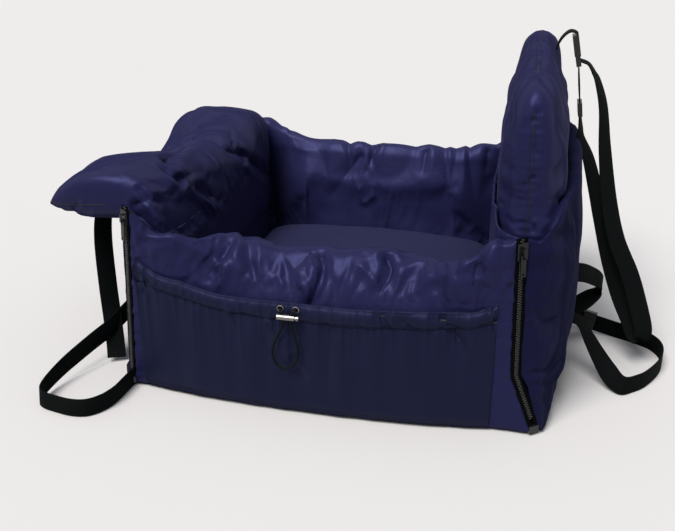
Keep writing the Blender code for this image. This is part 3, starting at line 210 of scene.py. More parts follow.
# Folds seen in the photograph: pixels along each, its depth (less than zero for a ridge), width and fade
FRONT_WALL_FOLDS = (
    (((127, 208.4), (138.2, 215.4), (139.6, 222.4), (146, 225.3), (141, 243.5)), 0.0035, 0.0035, (0.6, 0.5)),
    (((171.9, 230.2), (149.5, 228.1), (145.3, 243.5)), 0.0045, 0.0045, (0.4, 0.8)),
    (((230.8, 241.4), (221, 257), (210.5, 273)), 0.0060, 0.0050, (0.8, 0.5)),
    (((210.5, 273), (219.6, 263.1), (225.2, 268.8), (215.4, 291.2)), -0.0045, 0.0035, (1.0, 0.4)),
    (((311.5, 251.9), (292, 269), (272.9, 285.6)), 0.0050, 0.0080, (0.7, 0.3)),
    (((320.6, 256.1), (323.4, 270.2), (315, 295.4), (309.4, 305.9)), 0.0080, 0.0045, (0.7, 0.6)),
    (((302.4, 284.2), (306.6, 289.8), (307.3, 302.4)), -0.0035, 0.0035, (1.0, 0.5)),
    (((387.2, 257.6), (390.1, 270.8), (381.3, 290.6)), 0.0070, 0.0045, (0.8, 0.5)),
    (((360.8, 266.4), (372.5, 278.2), (381.3, 290.6)), -0.0040, 0.0045, (0.6, 0.8)),
    (((445.9, 269.4), (443, 280), (441.5, 289.2)), 0.0035, 0.0045, (0.8, 0.5)),
    (((457.6, 262), (456.2, 273.8)), 0.0045, 0.0035, (1.0, 0.6)),
    (((476.7, 251.8), (478.2, 266.4), (473.8, 285.5)), 0.0070, 0.0050, (0.6, 0.6)),
    (((498.7, 240), (488.4, 262), (473.8, 285.5)), -0.0045, 0.0050, (0.5, 0.8)),
    (((503.1, 241.5), (503.1, 257.6), (511.9, 285.5)), 0.0050, 0.0045, (0.5, 0.4)),
)
REAR_WALL_FOLDS = (
    (((376.9, 146.1), (372, 159), (366.7, 171.1)), 0.0050, 0.0035, (1.0, 0.4)),
    (((360.8, 156.4), (347, 174), (332.9, 194.5)), 0.0060, 0.0070, (0.8, 0.3)),
    (((359.3, 188.7), (363.7, 201.9), (372.5, 196)), -0.0035, 0.0040, (0.8, 0.8)),
    (((425.3, 152), (424, 161), (422.4, 171)), 0.0050, 0.0045, (1.0, 0.3)),
    (((488.4, 152), (487, 168)), 0.0040, 0.0040, (1.0, 0.4)),
)
LEFT_PILLOW_FOLDS = ( (((167, 161), (176, 152), (186, 143), (199, 138), (214, 138), (222, 145), (231,
                     151), (244, 155.5), (256, 165), (269, 176)), 0.0085, 0.0055, (0.9, 0.5)), (((230.7,
                     131.5), (231.5, 138), (232.4, 144.7)), 0.0035, 0.0028, (0.5, 1.0)), (((222, 133),
                     (227, 141)), 0.0025, 0.0025, (0.4, 1.0)), (((166, 169.6), (172, 174), (177.6,
                     177.9)), 0.0060, 0.0045, (0.7, 1.0)), (((187.6, 184.5), (200, 197), (212.5, 209.4)),
                     -0.0050, 0.0050, (0.5, 0.9)), (((181, 181), (196, 188), (212.5, 196.1), (227.4,
                     204.4)), 0.0055, 0.0055, (1.0, 0.3)), (((181, 181), (176, 190), (170, 199)), 0.0040,
                     0.0040, (1.0, 0.2)), (((181, 181), (192, 174), (204, 171)), 0.0035, 0.0035, (1.0,
                     0.2)), (((139.5, 189.5), (147.8, 199.5)), 0.0040, 0.0030, (0.8, 0.8)), (((136, 205),
                     (148, 200), (160, 203)), 0.0030, 0.0035, (0.8, 0.4)), )
SLEEVE_FOLDS = (
    (((567.5, 174), (573, 200), (576.9, 222.8), (576.9, 260)), 0.0050, 0.0055, (0.8, 0.3)),
    (((534.7, 311), (543, 322.7), (553, 321)), 0.0035, 0.0035, (0.6, 0.6)),
    (((534, 382), (542, 386), (550, 385)), 0.0025, 0.0028, (0.9, 0.4)),
    (((534, 372), (545, 374)), 0.0020, 0.0028, (0.9, 0.3)),
)
POCKET_FOLDS = (
    (((133, 272), (137, 281), (135, 292)), 0.0035, 0.0028, (0.8, 0.8)),
    (((141, 275), (145.5, 283), (143, 293)), 0.0030, 0.0026, (0.9, 0.6)),
    (((192.2, 285), (193.2, 299)), 0.0028, 0.0024, (0.8, 0.6)),
    (((250, 296), (252, 310)), 0.0028, 0.0024, (0.8, 0.6)),
    (((229, 311), (234, 324)), -0.0030, 0.0050, (1.0, 0.6)),
    (((267, 319), (273, 333)), -0.0030, 0.0050, (1.0, 0.6)),
    (((284, 342), (291, 364)), -0.0035, 0.0060, (1.0, 0.7)),
    (((292, 361), (302, 377)), 0.0030, 0.0035, (0.9, 0.5)),
    (((328, 333), (328, 362), (328, 393)), 0.0040, 0.0065, (0.9, 0.3)),
    (((345, 333), (345, 362)), 0.0030, 0.0055, (0.9, 0.3)),
    (((381.8, 318), (398.7, 347)), 0.0040, 0.0050, (1.0, 0.3)),
    (((403.6, 323), (423, 347)), 0.0040, 0.0050, (1.0, 0.3)),
    (((442.3, 318), (460, 344), (476.3, 373.9)), 0.0065, 0.0060, (0.9, 0.3)),
    (((484, 309), (487, 330)), 0.0035, 0.0030, (0.9, 0.5)),
    (((491, 308), (494, 329)), 0.0035, 0.0028, (0.9, 0.5)),
)
BACKREST_FOLDS = (
    (((538.6, 36), (545, 45)), 0.0025, 0.0028, (1.0, 0.2)),
    (((539, 50), (546, 58)), 0.0025, 0.0028, (1.0, 0.2)),
    (((538.8, 44), (532, 52)), 0.0025, 0.0028, (1.0, 0.2)),
    (((539.2, 60), (533, 70)), 0.0030, 0.0030, (1.0, 0.2)),
    (((535.5, 72.8), (524, 84), (514, 100)), 0.0035, 0.0040, (1.0, 0.2)),
    (((535.5, 74), (548, 86), (556, 102)), 0.0035, 0.0040, (1.0, 0.2)),
    (((533.6, 120), (524, 128)), 0.0018, 0.0026, (1.0, 0.2)),
    (((533.4, 150), (544, 158)), 0.0018, 0.0026, (1.0, 0.2)),
    (((533.2, 178), (522, 188)), 0.0022, 0.0030, (1.0, 0.2)),
)

# Webbing: routes as shares, the same points as the frame's own
WEB_WIDTH = 0.025
WEB_THICK = 0.0016
WEB_EDGE = 0.0006
END_REACH = 0.307
STRAP_Y = 0.060
SLOT_PLACE = (0.28542, 0.39343)
CLIP_BODY_HEIGHT = 0.013
HANG_TOP_Z = 0.21375
RIGHT_STRAP_MOUTH_Z = 0.280
BUCKLE_TOP = (0.2785, 0.426)
BUCKLE_LENGTH = 0.026
TAB_SHARES = (
    (-0.865, -0.710), (-0.750, -0.346), (-0.558, -0.038), (-0.288, 0.180), (-0.038, 0.165), (0.115, 0.075),
)
HEADREST_SHARES = (
    (0.0000, 0.000, 1.0000), (0.0205, 0.000, 0.9899), (0.0551, -0.002, 0.8991), (0.0850, -0.011, 0.6654),
    (0.1117, -0.021, 0.6249), (0.1511, -0.036, 0.5192), (0.1826, -0.057, 0.3429), (0.2298, -0.102, 0.2618),
    (0.2864, -0.145, 0.2047), (0.3745, -0.170, 0.1522), (0.4343, -0.191, 0.1059), (0.4737, -0.209, 0.0689),
    (0.4658, -0.213, 0.0525), (0.4343, -0.204, 0.0557), (0.4029, -0.183, 0.0740), (0.3383, -0.153, 0.1105),
    (0.2707, -0.128, 0.1621), (0.2109, -0.098, 0.2192), (0.1589, -0.060, 0.2702), (0.1070, -0.021, 0.3157),
    (0.0567, 0.000, 0.3664), (0.0488, 0.000, 0.4160), (0.0346, 0.000, 0.5022), (0.0205, 0.000, 0.5884),
    (0.0126, 0.000, 0.6393), (0.0063, 0.000, 0.7680),
)
HEADREST_SIDES = ((0, 1, 0), (0.1, 1, 0), (0.45, 0.85, 0), (0.85, 0.5, 0), (1, 0.3, 0), (0.95, 0.5, 0),
                  (0.9, 0.5, 0), (0.8, 0.6, 0), (0.4, 0.9, 0), (0, 1, 0), (0, 1, 0))
LEFT_HANG_SHARES = (
    (0.004, -0.302, 1.000), (0.038, -0.304, 0.926), (0.050, -0.311, 0.749), (0.044, -0.319, 0.468),
    (0.026, -0.332, 0.253), (-0.016, -0.370, 0.103), (-0.045, -0.400, 0.037),
)
LEFT_HANG_SIDES = ((0.5, 0.9, 0), (0.7, 0.7, 0), (0.8, 0.6, 0), (0.8, 0.6, 0))
LEFT_BASE_SHARES = (
    (-0.023, -0.226, 0.174), (-0.022, -0.262, 0.168), (-0.010, -0.315, 0.150), (0.006, -0.362, 0.130),
    (0.060, -0.438, 0.096), (0.122, -0.532, 0.050), (0.148, -0.606, 0.018), (0.140, -0.651, 0.006),
    (0.100, -0.672, 0.004), (0.028, -0.683, 0.004), (-0.068, -0.691, 0.004), (-0.148, -0.683, 0.004),
    (-0.204, -0.651, 0.004), (-0.232, -0.606, 0.004), (-0.238, -0.557, 0.004), (-0.244, -0.512, 0.004),
    (-0.262, -0.476, 0.004),
)
LEFT_BASE_SIDES = ((-0.16, 0, 1), (-0.12, 0, 1), (0.1, 0, 1), (0.1, 0, 1), (0, 0, 1), (0, 0, 1))
RIGHT_BASE_SHARES = (
    (-0.010, -0.181, 0.310), (0.044, -0.185, 0.286), (0.096, -0.189, 0.202), (0.148, -0.198, 0.122),
    (0.200, -0.213, 0.054), (0.244, -0.234, 0.014), (0.288, -0.249, 0.005), (0.344, -0.230, 0.004),
    (0.404, -0.196, 0.004), (0.476, -0.128, 0.004), (0.512, -0.064, 0.004), (0.508, -0.009, 0.004),
    (0.464, 0.034, 0.004), (0.380, 0.064, 0.004), (0.324, 0.079, 0.005), (0.276, 0.086, 0.010),
    (0.228, 0.091, 0.018), (0.132, 0.102, 0.034), (0.036, 0.113, 0.050), (-0.035, 0.121, 0.062),
)
RIGHT_BASE_SIDES = ((0.04, 1, 0), (0.4, 0.8, 0.4), (0.3, 0.3, 0.9), (0, 0, 1), (0, 0, 1), (0, 0, 1),
                    (0, 0, 1), (0, 0, 1))
SLING_SHARES = (
    (-0.002, -0.128, 0.518), (0.052, -0.085, 0.482), (0.104, -0.038, 0.430), (0.148, 0.000, 0.382),
    (0.164, 0.021, 0.342), (0.148, 0.021, 0.302), (0.104, 0.004, 0.270), (0.052, -0.021, 0.246),
    (-0.013, -0.047, 0.230),
)
SLING_SIDES = ((0, 0.5, 0.9), (0.1, 0.7, 0.7), (0.1, 1, 0.2), (0.1, 0.9, 0.5), (0.1, 0.8, 0.6))

# Radius of the near-black cords that paint the seams' shade
SEAM_SHADE_RADIUS = 0.0006

# Cloth settling
SETTLE_FRAMES = 14
CLOTH_STIFFNESS = 15
CLOTH_SHEAR = 5.0
CLOTH_BENDING = 0.05
# A photographed fold is pressed deeper and wider than it was read, for the cloth's own smoothing
FOLD_DEEPER = 1.35
FOLD_WIDER = 1.1
SUBDIVISION = 1
WELD = 0.00002


# Numbers

def mix(start, end, share):
    """Start plus the share of the way to the end."""
    return start + (end - start) * share


def ease(share):
    """A share from 0 to 1 that starts and stops softly: 3 t^2 - 2 t^3."""
    t = np.clip(share, 0, 1)
    return t * t * (3 - 2 * t)


def through(x, places, values):
    """A smooth curve through value-at-place pairs: cubic pieces whose slopes are the neighbours' mean."""
    places, values = np.asarray(places, float), np.asarray(values, float)
    slopes = np.gradient(values, places)
    x = np.clip(x, places[0], places[-1])
    i = np.clip(np.searchsorted(places, x) - 1, 0, len(places) - 2)
    run = places[i + 1] - places[i]
    t = (x - places[i]) / run
    return ((2 * t ** 3 - 3 * t ** 2 + 1) * values[i] + (t ** 3 - 2 * t ** 2 + t) * run * slopes[i]
            + (3 * t ** 2 - 2 * t ** 3) * values[i + 1] + (t ** 3 - t ** 2) * run * slopes[i + 1])


def catmull(points, shares):
    """Places at shares from 0 to 1 of a smooth curve through points: Catmull and Rom's cubic."""
    points = np.asarray(points, float)
    padded = np.vstack([2 * points[0] - points[1], points, 2 * points[-1] - points[-2]])
    place = np.clip(shares, 0, 1) * (len(points) - 1)
    i = np.minimum(place.astype(int), len(points) - 2)
    t = (place - i)[:, None]
    before, here, after, beyond = (padded[i + k] for k in range(4))
    return 0.5 * (2 * here + (after - before) * t + (2 * before - 5 * here + 4 * after - beyond) * t ** 2
                  + (3 * here - before - 3 * after + beyond) * t ** 3)


def ring(points, count):
    """count places evenly spaced along a smooth closed curve through points."""
    points = np.asarray(points, float)
    wrapped = np.vstack([points[-2:], points, points[:2]])
    spans = len(wrapped) - 1
    fine = catmull(wrapped, np.linspace(2 / spans, (spans - 1) / spans, 600))
    return resample(fine, count + 1)[:-1]


def resample(points, count):
    """count places evenly spaced along a run of points."""
    steps = np.linalg.norm(np.diff(points, axis=0), axis=1)
    length = np.concatenate([[0], np.cumsum(steps)])
    where = np.linspace(0, length[-1], count)
    return np.stack([np.interp(where, length, points[:, axis]) for axis in range(points.shape[1])], -1)


def unit(vectors):
    """Each vector divided by its own length."""
    return vectors / np.maximum(np.linalg.norm(vectors, axis=-1, keepdims=True), 1e-12)


def ripple(x, seed, waves):
    """An uneven ripple from about -1 to 1: sines of unlike length and phase, summed."""
    draw = np.random.default_rng(seed)
    total = 0
    for wave in waves:
        total = total + np.sin(math.tau * x / (wave * draw.uniform(0.85, 1.15)) + draw.uniform(0, math.tau))
    return total / len(waves)


def pleats(x, seed, waves):
    """An uneven ripple whose valleys are crisp: 1 - 2 sqrt(|ripple|)."""
    return 1 - 2 * np.sqrt(np.abs(ripple(x, seed, waves)))


# Meshes

def add_piece(name, mesh, finish):
    """Links a mesh as a smooth-shaded piece at the origin."""
    piece = bpy.data.objects.new(name, mesh)
    bpy.context.scene.collection.objects.link(piece)
    mesh.materials.append(finish)
    mesh.shade_smooth()
    return piece


def surface(name, points, finish, wrap=False, weld=True, lengths=None):
    """A grid of points as a skin; wrap joins its last column to its first.

    Points that meet are welded, and lengths, when given, is the grid's own (u, v) in metres.
    """
    rows, columns = points.shape[:2]
    index = np.arange(rows * columns).reshape(rows, columns)
    right = np.roll(index, -1, axis=1) if wrap else index[:, 1:]
    here = index if wrap else index[:, :-1]
    faces = np.stack([here[:-1], right[:-1], right[1:], here[1:]], -1).reshape(-1, 4)
    mesh = bpy.data.meshes.new(name)
    mesh.from_pydata(points.reshape(-1, 3).tolist(), [], faces.tolist())
    if lengths is not None:
        u, v = lengths
        across = len(v) - 1
        corners = np.empty((rows - 1, across, 4, 2))
        corners[..., 0, 0] = corners[..., 1, 0] = u[:-1, None]
        corners[..., 2, 0] = corners[..., 3, 0] = u[1:, None]
        corners[..., 0, 1] = corners[..., 3, 1] = v[None, :-1]
        corners[..., 1, 1] = corners[..., 2, 1] = v[None, 1:]
        mesh.uv_layers.new(name="lengths").data.foreach_set("uv", corners.ravel().astype(np.float32))
    if weld:
        shape = bmesh.new()
        shape.from_mesh(mesh)
        bmesh.ops.remove_doubles(shape, verts=shape.verts, dist=WELD)
        bmesh.ops.dissolve_degenerate(shape, edges=shape.edges, dist=WELD)
        bmesh.ops.recalc_face_normals(shape, faces=shape.faces)
        shape.to_mesh(mesh)
        shape.free()
    face_outward(mesh)
    return add_piece(name, mesh, finish)


def face_outward(mesh):
    """Turns the faces round where they enclose less than nothing."""
    shape = bmesh.new()
    shape.from_mesh(mesh)
    if shape.calc_volume(signed=True) < 0:
        bmesh.ops.reverse_faces(shape, faces=shape.faces)
        shape.to_mesh(mesh)
    shape.free()


def places_of(piece):
    """A piece's points, one row of x, y, z each."""
    places = np.empty(len(piece.data.vertices) * 3, np.float32)
    piece.data.vertices.foreach_get("co", places)
    return places.reshape(-1, 3).astype(float)


def normals_of(piece):
    """A piece's normals at its points."""
    normals = np.empty(len(piece.data.vertices) * 3, np.float32)
    piece.data.vertices.foreach_get("normal", normals)
    return normals.reshape(-1, 3).astype(float)


def put_places(piece, places):
    """Moves a piece's points to new places."""
    piece.data.vertices.foreach_set("co", places.ravel().astype(np.float32))
    piece.data.update()


def thicken(piece, thickness):
    """Gives an open sheet its cloth's thickness, kept behind its face."""
    cloth = piece.modifiers.new("cloth", "SOLIDIFY")
    cloth.thickness = thickness
    cloth.offset = -1


def refine(piece):
    """One level of smooth subdivision."""
    soft = piece.modifiers.new("soft", "SUBSURF")
    soft.levels = SUBDIVISION
    soft.render_levels = SUBDIVISION


def sweep(name, path, sides, outline, finish):
    """A closed outline carried along a path: side * across + facing * out, with capped ends."""
    along = unit(np.gradient(path, axis=0))
    sides = unit(sides - along * np.sum(sides * along, -1, keepdims=True))
    facing = np.cross(along, sides)
    across, out = outline[:, 0], outline[:, 1]
    points = path[:, None] + sides[:, None] * across[None, :, None] + facing[:, None] * out[None, :, None]
    run = np.concatenate([[0], np.cumsum(np.linalg.norm(np.diff(path, axis=0), axis=1))])
    closed = np.vstack([outline, outline[:1]])
    girth = np.concatenate([[0], np.cumsum(np.linalg.norm(np.diff(closed, axis=0), axis=1))])
    piece = surface(name, points, finish, wrap=True, weld=False, lengths=(run, girth))
    shape = bmesh.new()
    shape.from_mesh(piece.data)
    bmesh.ops.holes_fill(shape, edges=[edge for edge in shape.edges if edge.is_boundary])
    bmesh.ops.recalc_face_normals(shape, faces=shape.faces)
    shape.to_mesh(piece.data)
    shape.free()
    piece.data.shade_smooth()
    piece.data.set_sharp_from_angle(angle=math.radians(50))
    return piece


def round_outline(width, thick, radius, steps=3):
    """A rectangle with its corners turned on arcs."""
    turns = np.linspace(0, math.pi / 2, steps)
    points = []
    for side, end, quarter in ((1, 1, 0), (-1, 1, 1), (-1, -1, 2), (1, -1, 3)):
        angles = turns + quarter * math.pi / 2
        points.append(np.stack([side * (width / 2 - radius) + radius * np.cos(angles),
                                end * (thick / 2 - radius) + radius * np.sin(angles)], -1))
    return np.vstack(points)


def stack(outline, levels):
    """A small solid: its outline drawn at each (scale, height) and joined up."""
    count = len(outline)
    points = np.vstack([np.column_stack([outline * scale, np.full(count, height)])
                        for scale, height in levels])
    ring_start = np.arange(len(levels) - 1) * count
    faces = [(start + k, start + (k + 1) % count, start + (k + 1) % count + count, start + k + count)
             for start in ring_start for k in range(count)]
    last = (len(levels) - 1) * count
    return points, faces + [tuple(range(count))[::-1], tuple(range(last, last + count))]


def repeat(name, solid, places, axes, finish):
    """One small solid set at many places; axes holds each one's x, y and z directions."""
    points, faces = solid
    spots = places[:, None] + np.einsum("pk,nkc->npc", points, axes)
    mesh = bpy.data.meshes.new(name)
    all_faces = [tuple(int(corner + shift) for corner in face)
                 for shift in np.arange(len(places)) * len(points) for face in faces]
    mesh.from_pydata(spots.reshape(-1, 3).tolist(), [], all_faces)
    piece = add_piece(name, mesh, finish)
    mesh.set_sharp_from_angle(angle=math.radians(50))
    return piece


def circle_outline(radius, count):
    """Points evenly round a circle: radius times cosine and sine."""
    angles = np.arange(count) * math.tau / count
    return np.stack([np.cos(angles), np.sin(angles)], -1) * radius


# Finishes

def new_finish(name):
    """An empty material, with its nodes, links and shader."""
    finish = bpy.data.materials.new(name)
    finish.use_nodes = True
    return finish, finish.node_tree.nodes, finish.node_tree.links, finish.node_tree.nodes["Principled BSDF"]


def noise(nodes, links, source, scale, detail=2.0):
    """Noise on the given coordinates."""
    grain = nodes.new("ShaderNodeTexNoise")
    grain.inputs["Scale"].default_value = scale
    grain.inputs["Detail"].default_value = detail
    links.new(source, grain.inputs["Vector"])
    return grain.outputs["Fac"]


def ramp(nodes, links, source, low, high):
    """Two colours, or greys, mixed by a factor."""
    blend = nodes.new("ShaderNodeMix")
    blend.data_type = "RGBA"
    blend.inputs["A"].default_value = (*low, 1)
    blend.inputs["B"].default_value = (*high, 1)
    links.new(source, blend.inputs["Factor"])
    return blend.outputs["Result"]


def span(nodes, links, source, low, high):
    """A factor spread between two values."""
    spread = nodes.new("ShaderNodeMapRange")
    spread.inputs["To Min"].default_value = low
    spread.inputs["To Max"].default_value = high
    links.new(source, spread.inputs["Value"])
    return spread.outputs["Result"]


def bump(nodes, links, height, distance, strength, under=None):
    """Relief from a height, laid over the relief under it."""
    relief = nodes.new("ShaderNodeBump")
    relief.inputs["Distance"].default_value = distance
    relief.inputs["Strength"].default_value = strength
    links.new(height, relief.inputs["Height"])
    if under:
        links.new(under, relief.inputs["Normal"])
    return relief.outputs["Normal"]


# A moulded piece's mottle, in grains for each metre
GRAIN = 180.0
# A wave texture's bands are a twentieth of a turn wide at scale 1
WAVE_PER_METRE = math.tau / 20


def satin(name, deep, worn, roughness, gloss):
    """Satin nylon: navy, a crisp sheen that dulls where seen edge on, a slanted weave and faint crumples."""
    finish, nodes, links, shader = new_finish(name)
    place = nodes.new("ShaderNodeTexCoord").outputs["Object"]
    shade = ramp(nodes, links, noise(nodes, links, place, 9.0, 3.0), deep, worn)
    links.new(shade, shader.inputs["Base Color"])
    rough = noise(nodes, links, place, 26.0, 2.0)
    edge = nodes.new("ShaderNodeLayerWeight")
    dulling = span(nodes, links, edge.outputs["Facing"], 0, 0.6)
    dulling.node.inputs["From Min"].default_value = 0.3
    dulling.node.inputs["From Max"].default_value = 0.7
    total = nodes.new("ShaderNodeMath")
    total.use_clamp = True
    links.new(span(nodes, links, rough, roughness - 0.05, roughness + 0.07), total.inputs[0])
    links.new(dulling, total.inputs[1])
    links.new(total.outputs[0], shader.inputs["Roughness"])
    ridge = nodes.new("ShaderNodeMath")
    ridge.operation = "PINGPONG"
    ridge.inputs[1].default_value = 0.09
    links.new(noise(nodes, links, place, 34.0, 1.5), ridge.inputs[0])
    crumple = bump(nodes, links, ridge.outputs[0], 0.0060, 0.22)
    weave = nodes.new("ShaderNodeTexWave")
    weave.bands_direction = "DIAGONAL"
    weave.inputs["Scale"].default_value = WAVE_PER_METRE / 0.0009
    weave.inputs["Distortion"].default_value = 0.6
    links.new(place, weave.inputs["Vector"])
    links.new(bump(nodes, links, weave.outputs["Fac"], 0.00008, 0.18, crumple), shader.inputs["Normal"])
    shader.inputs["Specular IOR Level"].default_value = gloss
    shader.inputs["Specular Tint"].default_value = (0.42, 0.43, 1.0, 1.0)
    shader.inputs["Sheen Weight"].default_value = 0.02
    shader.inputs["Sheen Roughness"].default_value = 0.45
    shader.inputs["Sheen Tint"].default_value = (0.35, 0.36, 0.62, 1.0)
    return finish


def webbing_finish(name, colour, rib, glint):
    """Ribbed polypropylene webbing, its ribs across the strap's own length, with a painted glint: the rib
    bands take a lighter colour.
    """
    finish, nodes, links, shader = new_finish(name)
    lengths = nodes.new("ShaderNodeUVMap")
    lengths.uv_map = "lengths"
    ribs = nodes.new("ShaderNodeTexWave")
    ribs.bands_direction = "X"
    ribs.inputs["Scale"].default_value = WAVE_PER_METRE / rib
    ribs.inputs["Distortion"].default_value = 0.0
    links.new(lengths.outputs["UV"], ribs.inputs["Vector"])
    threads = nodes.new("ShaderNodeTexWave")
    threads.bands_direction = "Y"
    threads.inputs["Scale"].default_value = WAVE_PER_METRE / (rib * 0.7)
    threads.inputs["Distortion"].default_value = 0.5
    links.new(lengths.outputs["UV"], threads.inputs["Vector"])
    fuzz = noise(nodes, links, nodes.new("ShaderNodeTexCoord").outputs["Object"], 900.0, 1.0)
    # Painted glint: the base colour turns lighter along the rib bands.
    links.new(ramp(nodes, links, ribs.outputs["Fac"], colour, glint), shader.inputs["Base Color"])
    first = bump(nodes, links, ribs.outputs["Fac"], 0.0003, 0.7)
    second = bump(nodes, links, threads.outputs["Fac"], 0.00012, 0.5, first)
    links.new(bump(nodes, links, fuzz, 0.0001, 0.3, second), shader.inputs["Normal"])
    shader.inputs["Roughness"].default_value = 0.85
    shader.inputs["Specular IOR Level"].default_value = 0.05
    return finish


def smooth_finish(name, colour, worn, roughness, metallic=0.0):
    """Moulded plastic or plated metal: a slight mottle, handling wear and fine grain."""
    finish, nodes, links, shader = new_finish(name)
    place = nodes.new("ShaderNodeTexCoord").outputs["Object"]
    shade = ramp(nodes, links, noise(nodes, links, place, 60.0, 3.0), colour, worn)
    links.new(shade, shader.inputs["Base Color"])
    spots = noise(nodes, links, place, GRAIN, 2.0)
    links.new(span(nodes, links, spots, roughness - 0.06, roughness + 0.08), shader.inputs["Roughness"])
    fine = noise(nodes, links, place, GRAIN * 5, 1.0)
    links.new(bump(nodes, links, fine, 0.00006, 0.15), shader.inputs["Normal"])
    shader.inputs["Metallic"].default_value = metallic
    return finish


NAVY = satin("navy_satin", (0.0125, 0.0125, 0.0510), (0.0175, 0.0172, 0.0650), 0.38, 0.28)
# A lighter, glossier copy of the satin for the rear wall: its lighter base colour is painted light.
NAVY_REAR_LIT = satin("navy_satin_rear_painted_light", (0.0180, 0.0182, 0.0680), (0.0250, 0.0250, 0.0860), 0.42, 0.34)
# A darker, less glossy satin for the pocket and the base panel: partly a duller cloth, partly painted shade
# in its darker base colour.
NAVY_DULL_AND_SHADED = satin("navy_satin_dull_and_shaded", (0.0080, 0.0096, 0.0290), (0.0140, 0.0160, 0.0400), 0.44, 0.18)
# A darker, less glossy copy of the satin for the right sleeve: painted shade for its side away from the key
# light.
NAVY_SIDE_SHADED = satin("navy_satin_side_painted_shade", (0.0080, 0.0082, 0.0340), (0.0115, 0.0116, 0.0420), 0.46, 0.12)
# A lighter copy of the satin for the seat cushion: its lighter base colour is painted light.
NAVY_SEAT_LIT = satin("navy_satin_seat_painted_light", (0.0230, 0.0235, 0.0620), (0.0310, 0.0315, 0.0780), 0.50, 0.30)
# Near-black finish of the cords laid in the closing seams: painted shade.
SEAM_SHADE = smooth_finish("navy_seam_painted_shade", (0.0015, 0.0015, 0.0060), (0.0025, 0.0025, 0.0090), 0.7)
THREAD = smooth_finish("navy_thread", (0.05, 0.05, 0.13), (0.08, 0.08, 0.18), 0.6)
WEB = webbing_finish("black_webbing", (0.0032, 0.0042, 0.0042), 0.0016, (0.0090, 0.0105, 0.0105))
TAPE = webbing_finish("black_zip_tape", (0.0012, 0.0014, 0.0015), 0.0008, (0.0024, 0.0027, 0.0028))
BRAID = webbing_finish("cord_braid", (0.0040, 0.0062, 0.0058), 0.0011, (0.018, 0.023, 0.021))
BRAID_ROUND = smooth_finish("cord_braid_hidden", (0.0040, 0.0062, 0.0058), (0.018, 0.023, 0.021), 0.6)
TOOTH = smooth_finish("black_resin_teeth", (0.0075, 0.0080, 0.0085), (0.0140, 0.0150, 0.0155), 0.24)
PLASTIC = smooth_finish("black_buckle_plastic", (0.0070, 0.0072, 0.0078), (0.012, 0.012, 0.013), 0.36)
BLACK_METAL = smooth_finish("black_lacquered_metal", (0.010, 0.011, 0.012), (0.022, 0.023, 0.025), 0.30, 0.6)
GUNMETAL = smooth_finish("gunmetal_plate", (0.16, 0.155, 0.15), (0.25, 0.24, 0.23), 0.32, 1.0)
BOARD = smooth_finish("grey_board", (0.11, 0.11, 0.11), (0.15, 0.15, 0.14), 0.75)


# Camera, floor and light

def make_camera():
    """The camera, at the photograph's place, tilt and focal length."""
    camera = bpy.data.objects.new("camera", bpy.data.cameras.new("camera"))
    bpy.context.scene.collection.objects.link(camera)
    camera.location = CAMERA_PLACE
    camera.rotation_euler = (math.pi / 2 - CAMERA_DIP, 0, CAMERA_TURN)
    camera.data.sensor_width = SENSOR_WIDTH_MM
    camera.data.lens = SENSOR_WIDTH_MM * CAMERA_FOCUS_PIXELS / PHOTO_WIDTH
    bpy.context.scene.camera = camera


def photo_ray(pixel):
    """The camera's place and the direction through a pixel of the photograph."""
    turn, dip = CAMERA_TURN, CAMERA_DIP
    ahead = np.array([-math.sin(turn) * math.cos(dip), math.cos(turn) * math.cos(dip), -math.sin(dip)])
    right = np.array([math.cos(turn), math.sin(turn), 0.0])
    up = np.cross(right, ahead)
    x = (pixel[0] - PHOTO_WIDTH / 2) / CAMERA_FOCUS_PIXELS
    y = (pixel[1] - PHOTO_HEIGHT / 2) / CAMERA_FOCUS_PIXELS
    return Vector(CAMERA_PLACE), Vector(ahead + right * x - up * y).normalized()


def seen_rays(nodes, links):
    """1 for rays that show a background: from the camera, off gloss and through glass."""
    path = nodes.new("ShaderNodeLightPath")
    total = path.outputs["Is Camera Ray"]
    for kind in ("Is Glossy Ray", "Is Transmission Ray"):
        either = nodes.new("ShaderNodeMath")
        either.operation = "MAXIMUM"
        links.new(total, either.inputs[0])
        links.new(path.outputs[kind], either.inputs[1])
        total = either.outputs[0]
    return total


def backdrop_shader(nodes, links, colour, lit, output):
    """Shows a plain colour to the camera and in reflections, and the lit shader otherwise."""
    glow = nodes.new("ShaderNodeBackground")
    glow.inputs["Color"].default_value = (*colour, 1)
    mixer = nodes.new("ShaderNodeMixShader")
    links.new(seen_rays(nodes, links), mixer.inputs["Fac"])
    links.new(lit, mixer.inputs[1])
    links.new(glow.outputs[0], mixer.inputs[2])
    links.new(mixer.outputs[0], output)


BACKDROP = (0.840, 0.816, 0.800)
SKY_COLOUR = (0.84, 0.89, 1.0)
SKY_LOW = 0.05
SKY_HIGH = 0.50
FLOOR_SHOWN = (0.900, 0.862, 0.826)
FLOOR_BOUNCE = (0.28, 0.29, 0.31)
FLOOR_MOTTLE = 0.005
KEY_PLACE = (-0.42, -1.05, 1.62)
KEY_STRENGTH = 2.55
KEY_ANGLE = math.radians(30)


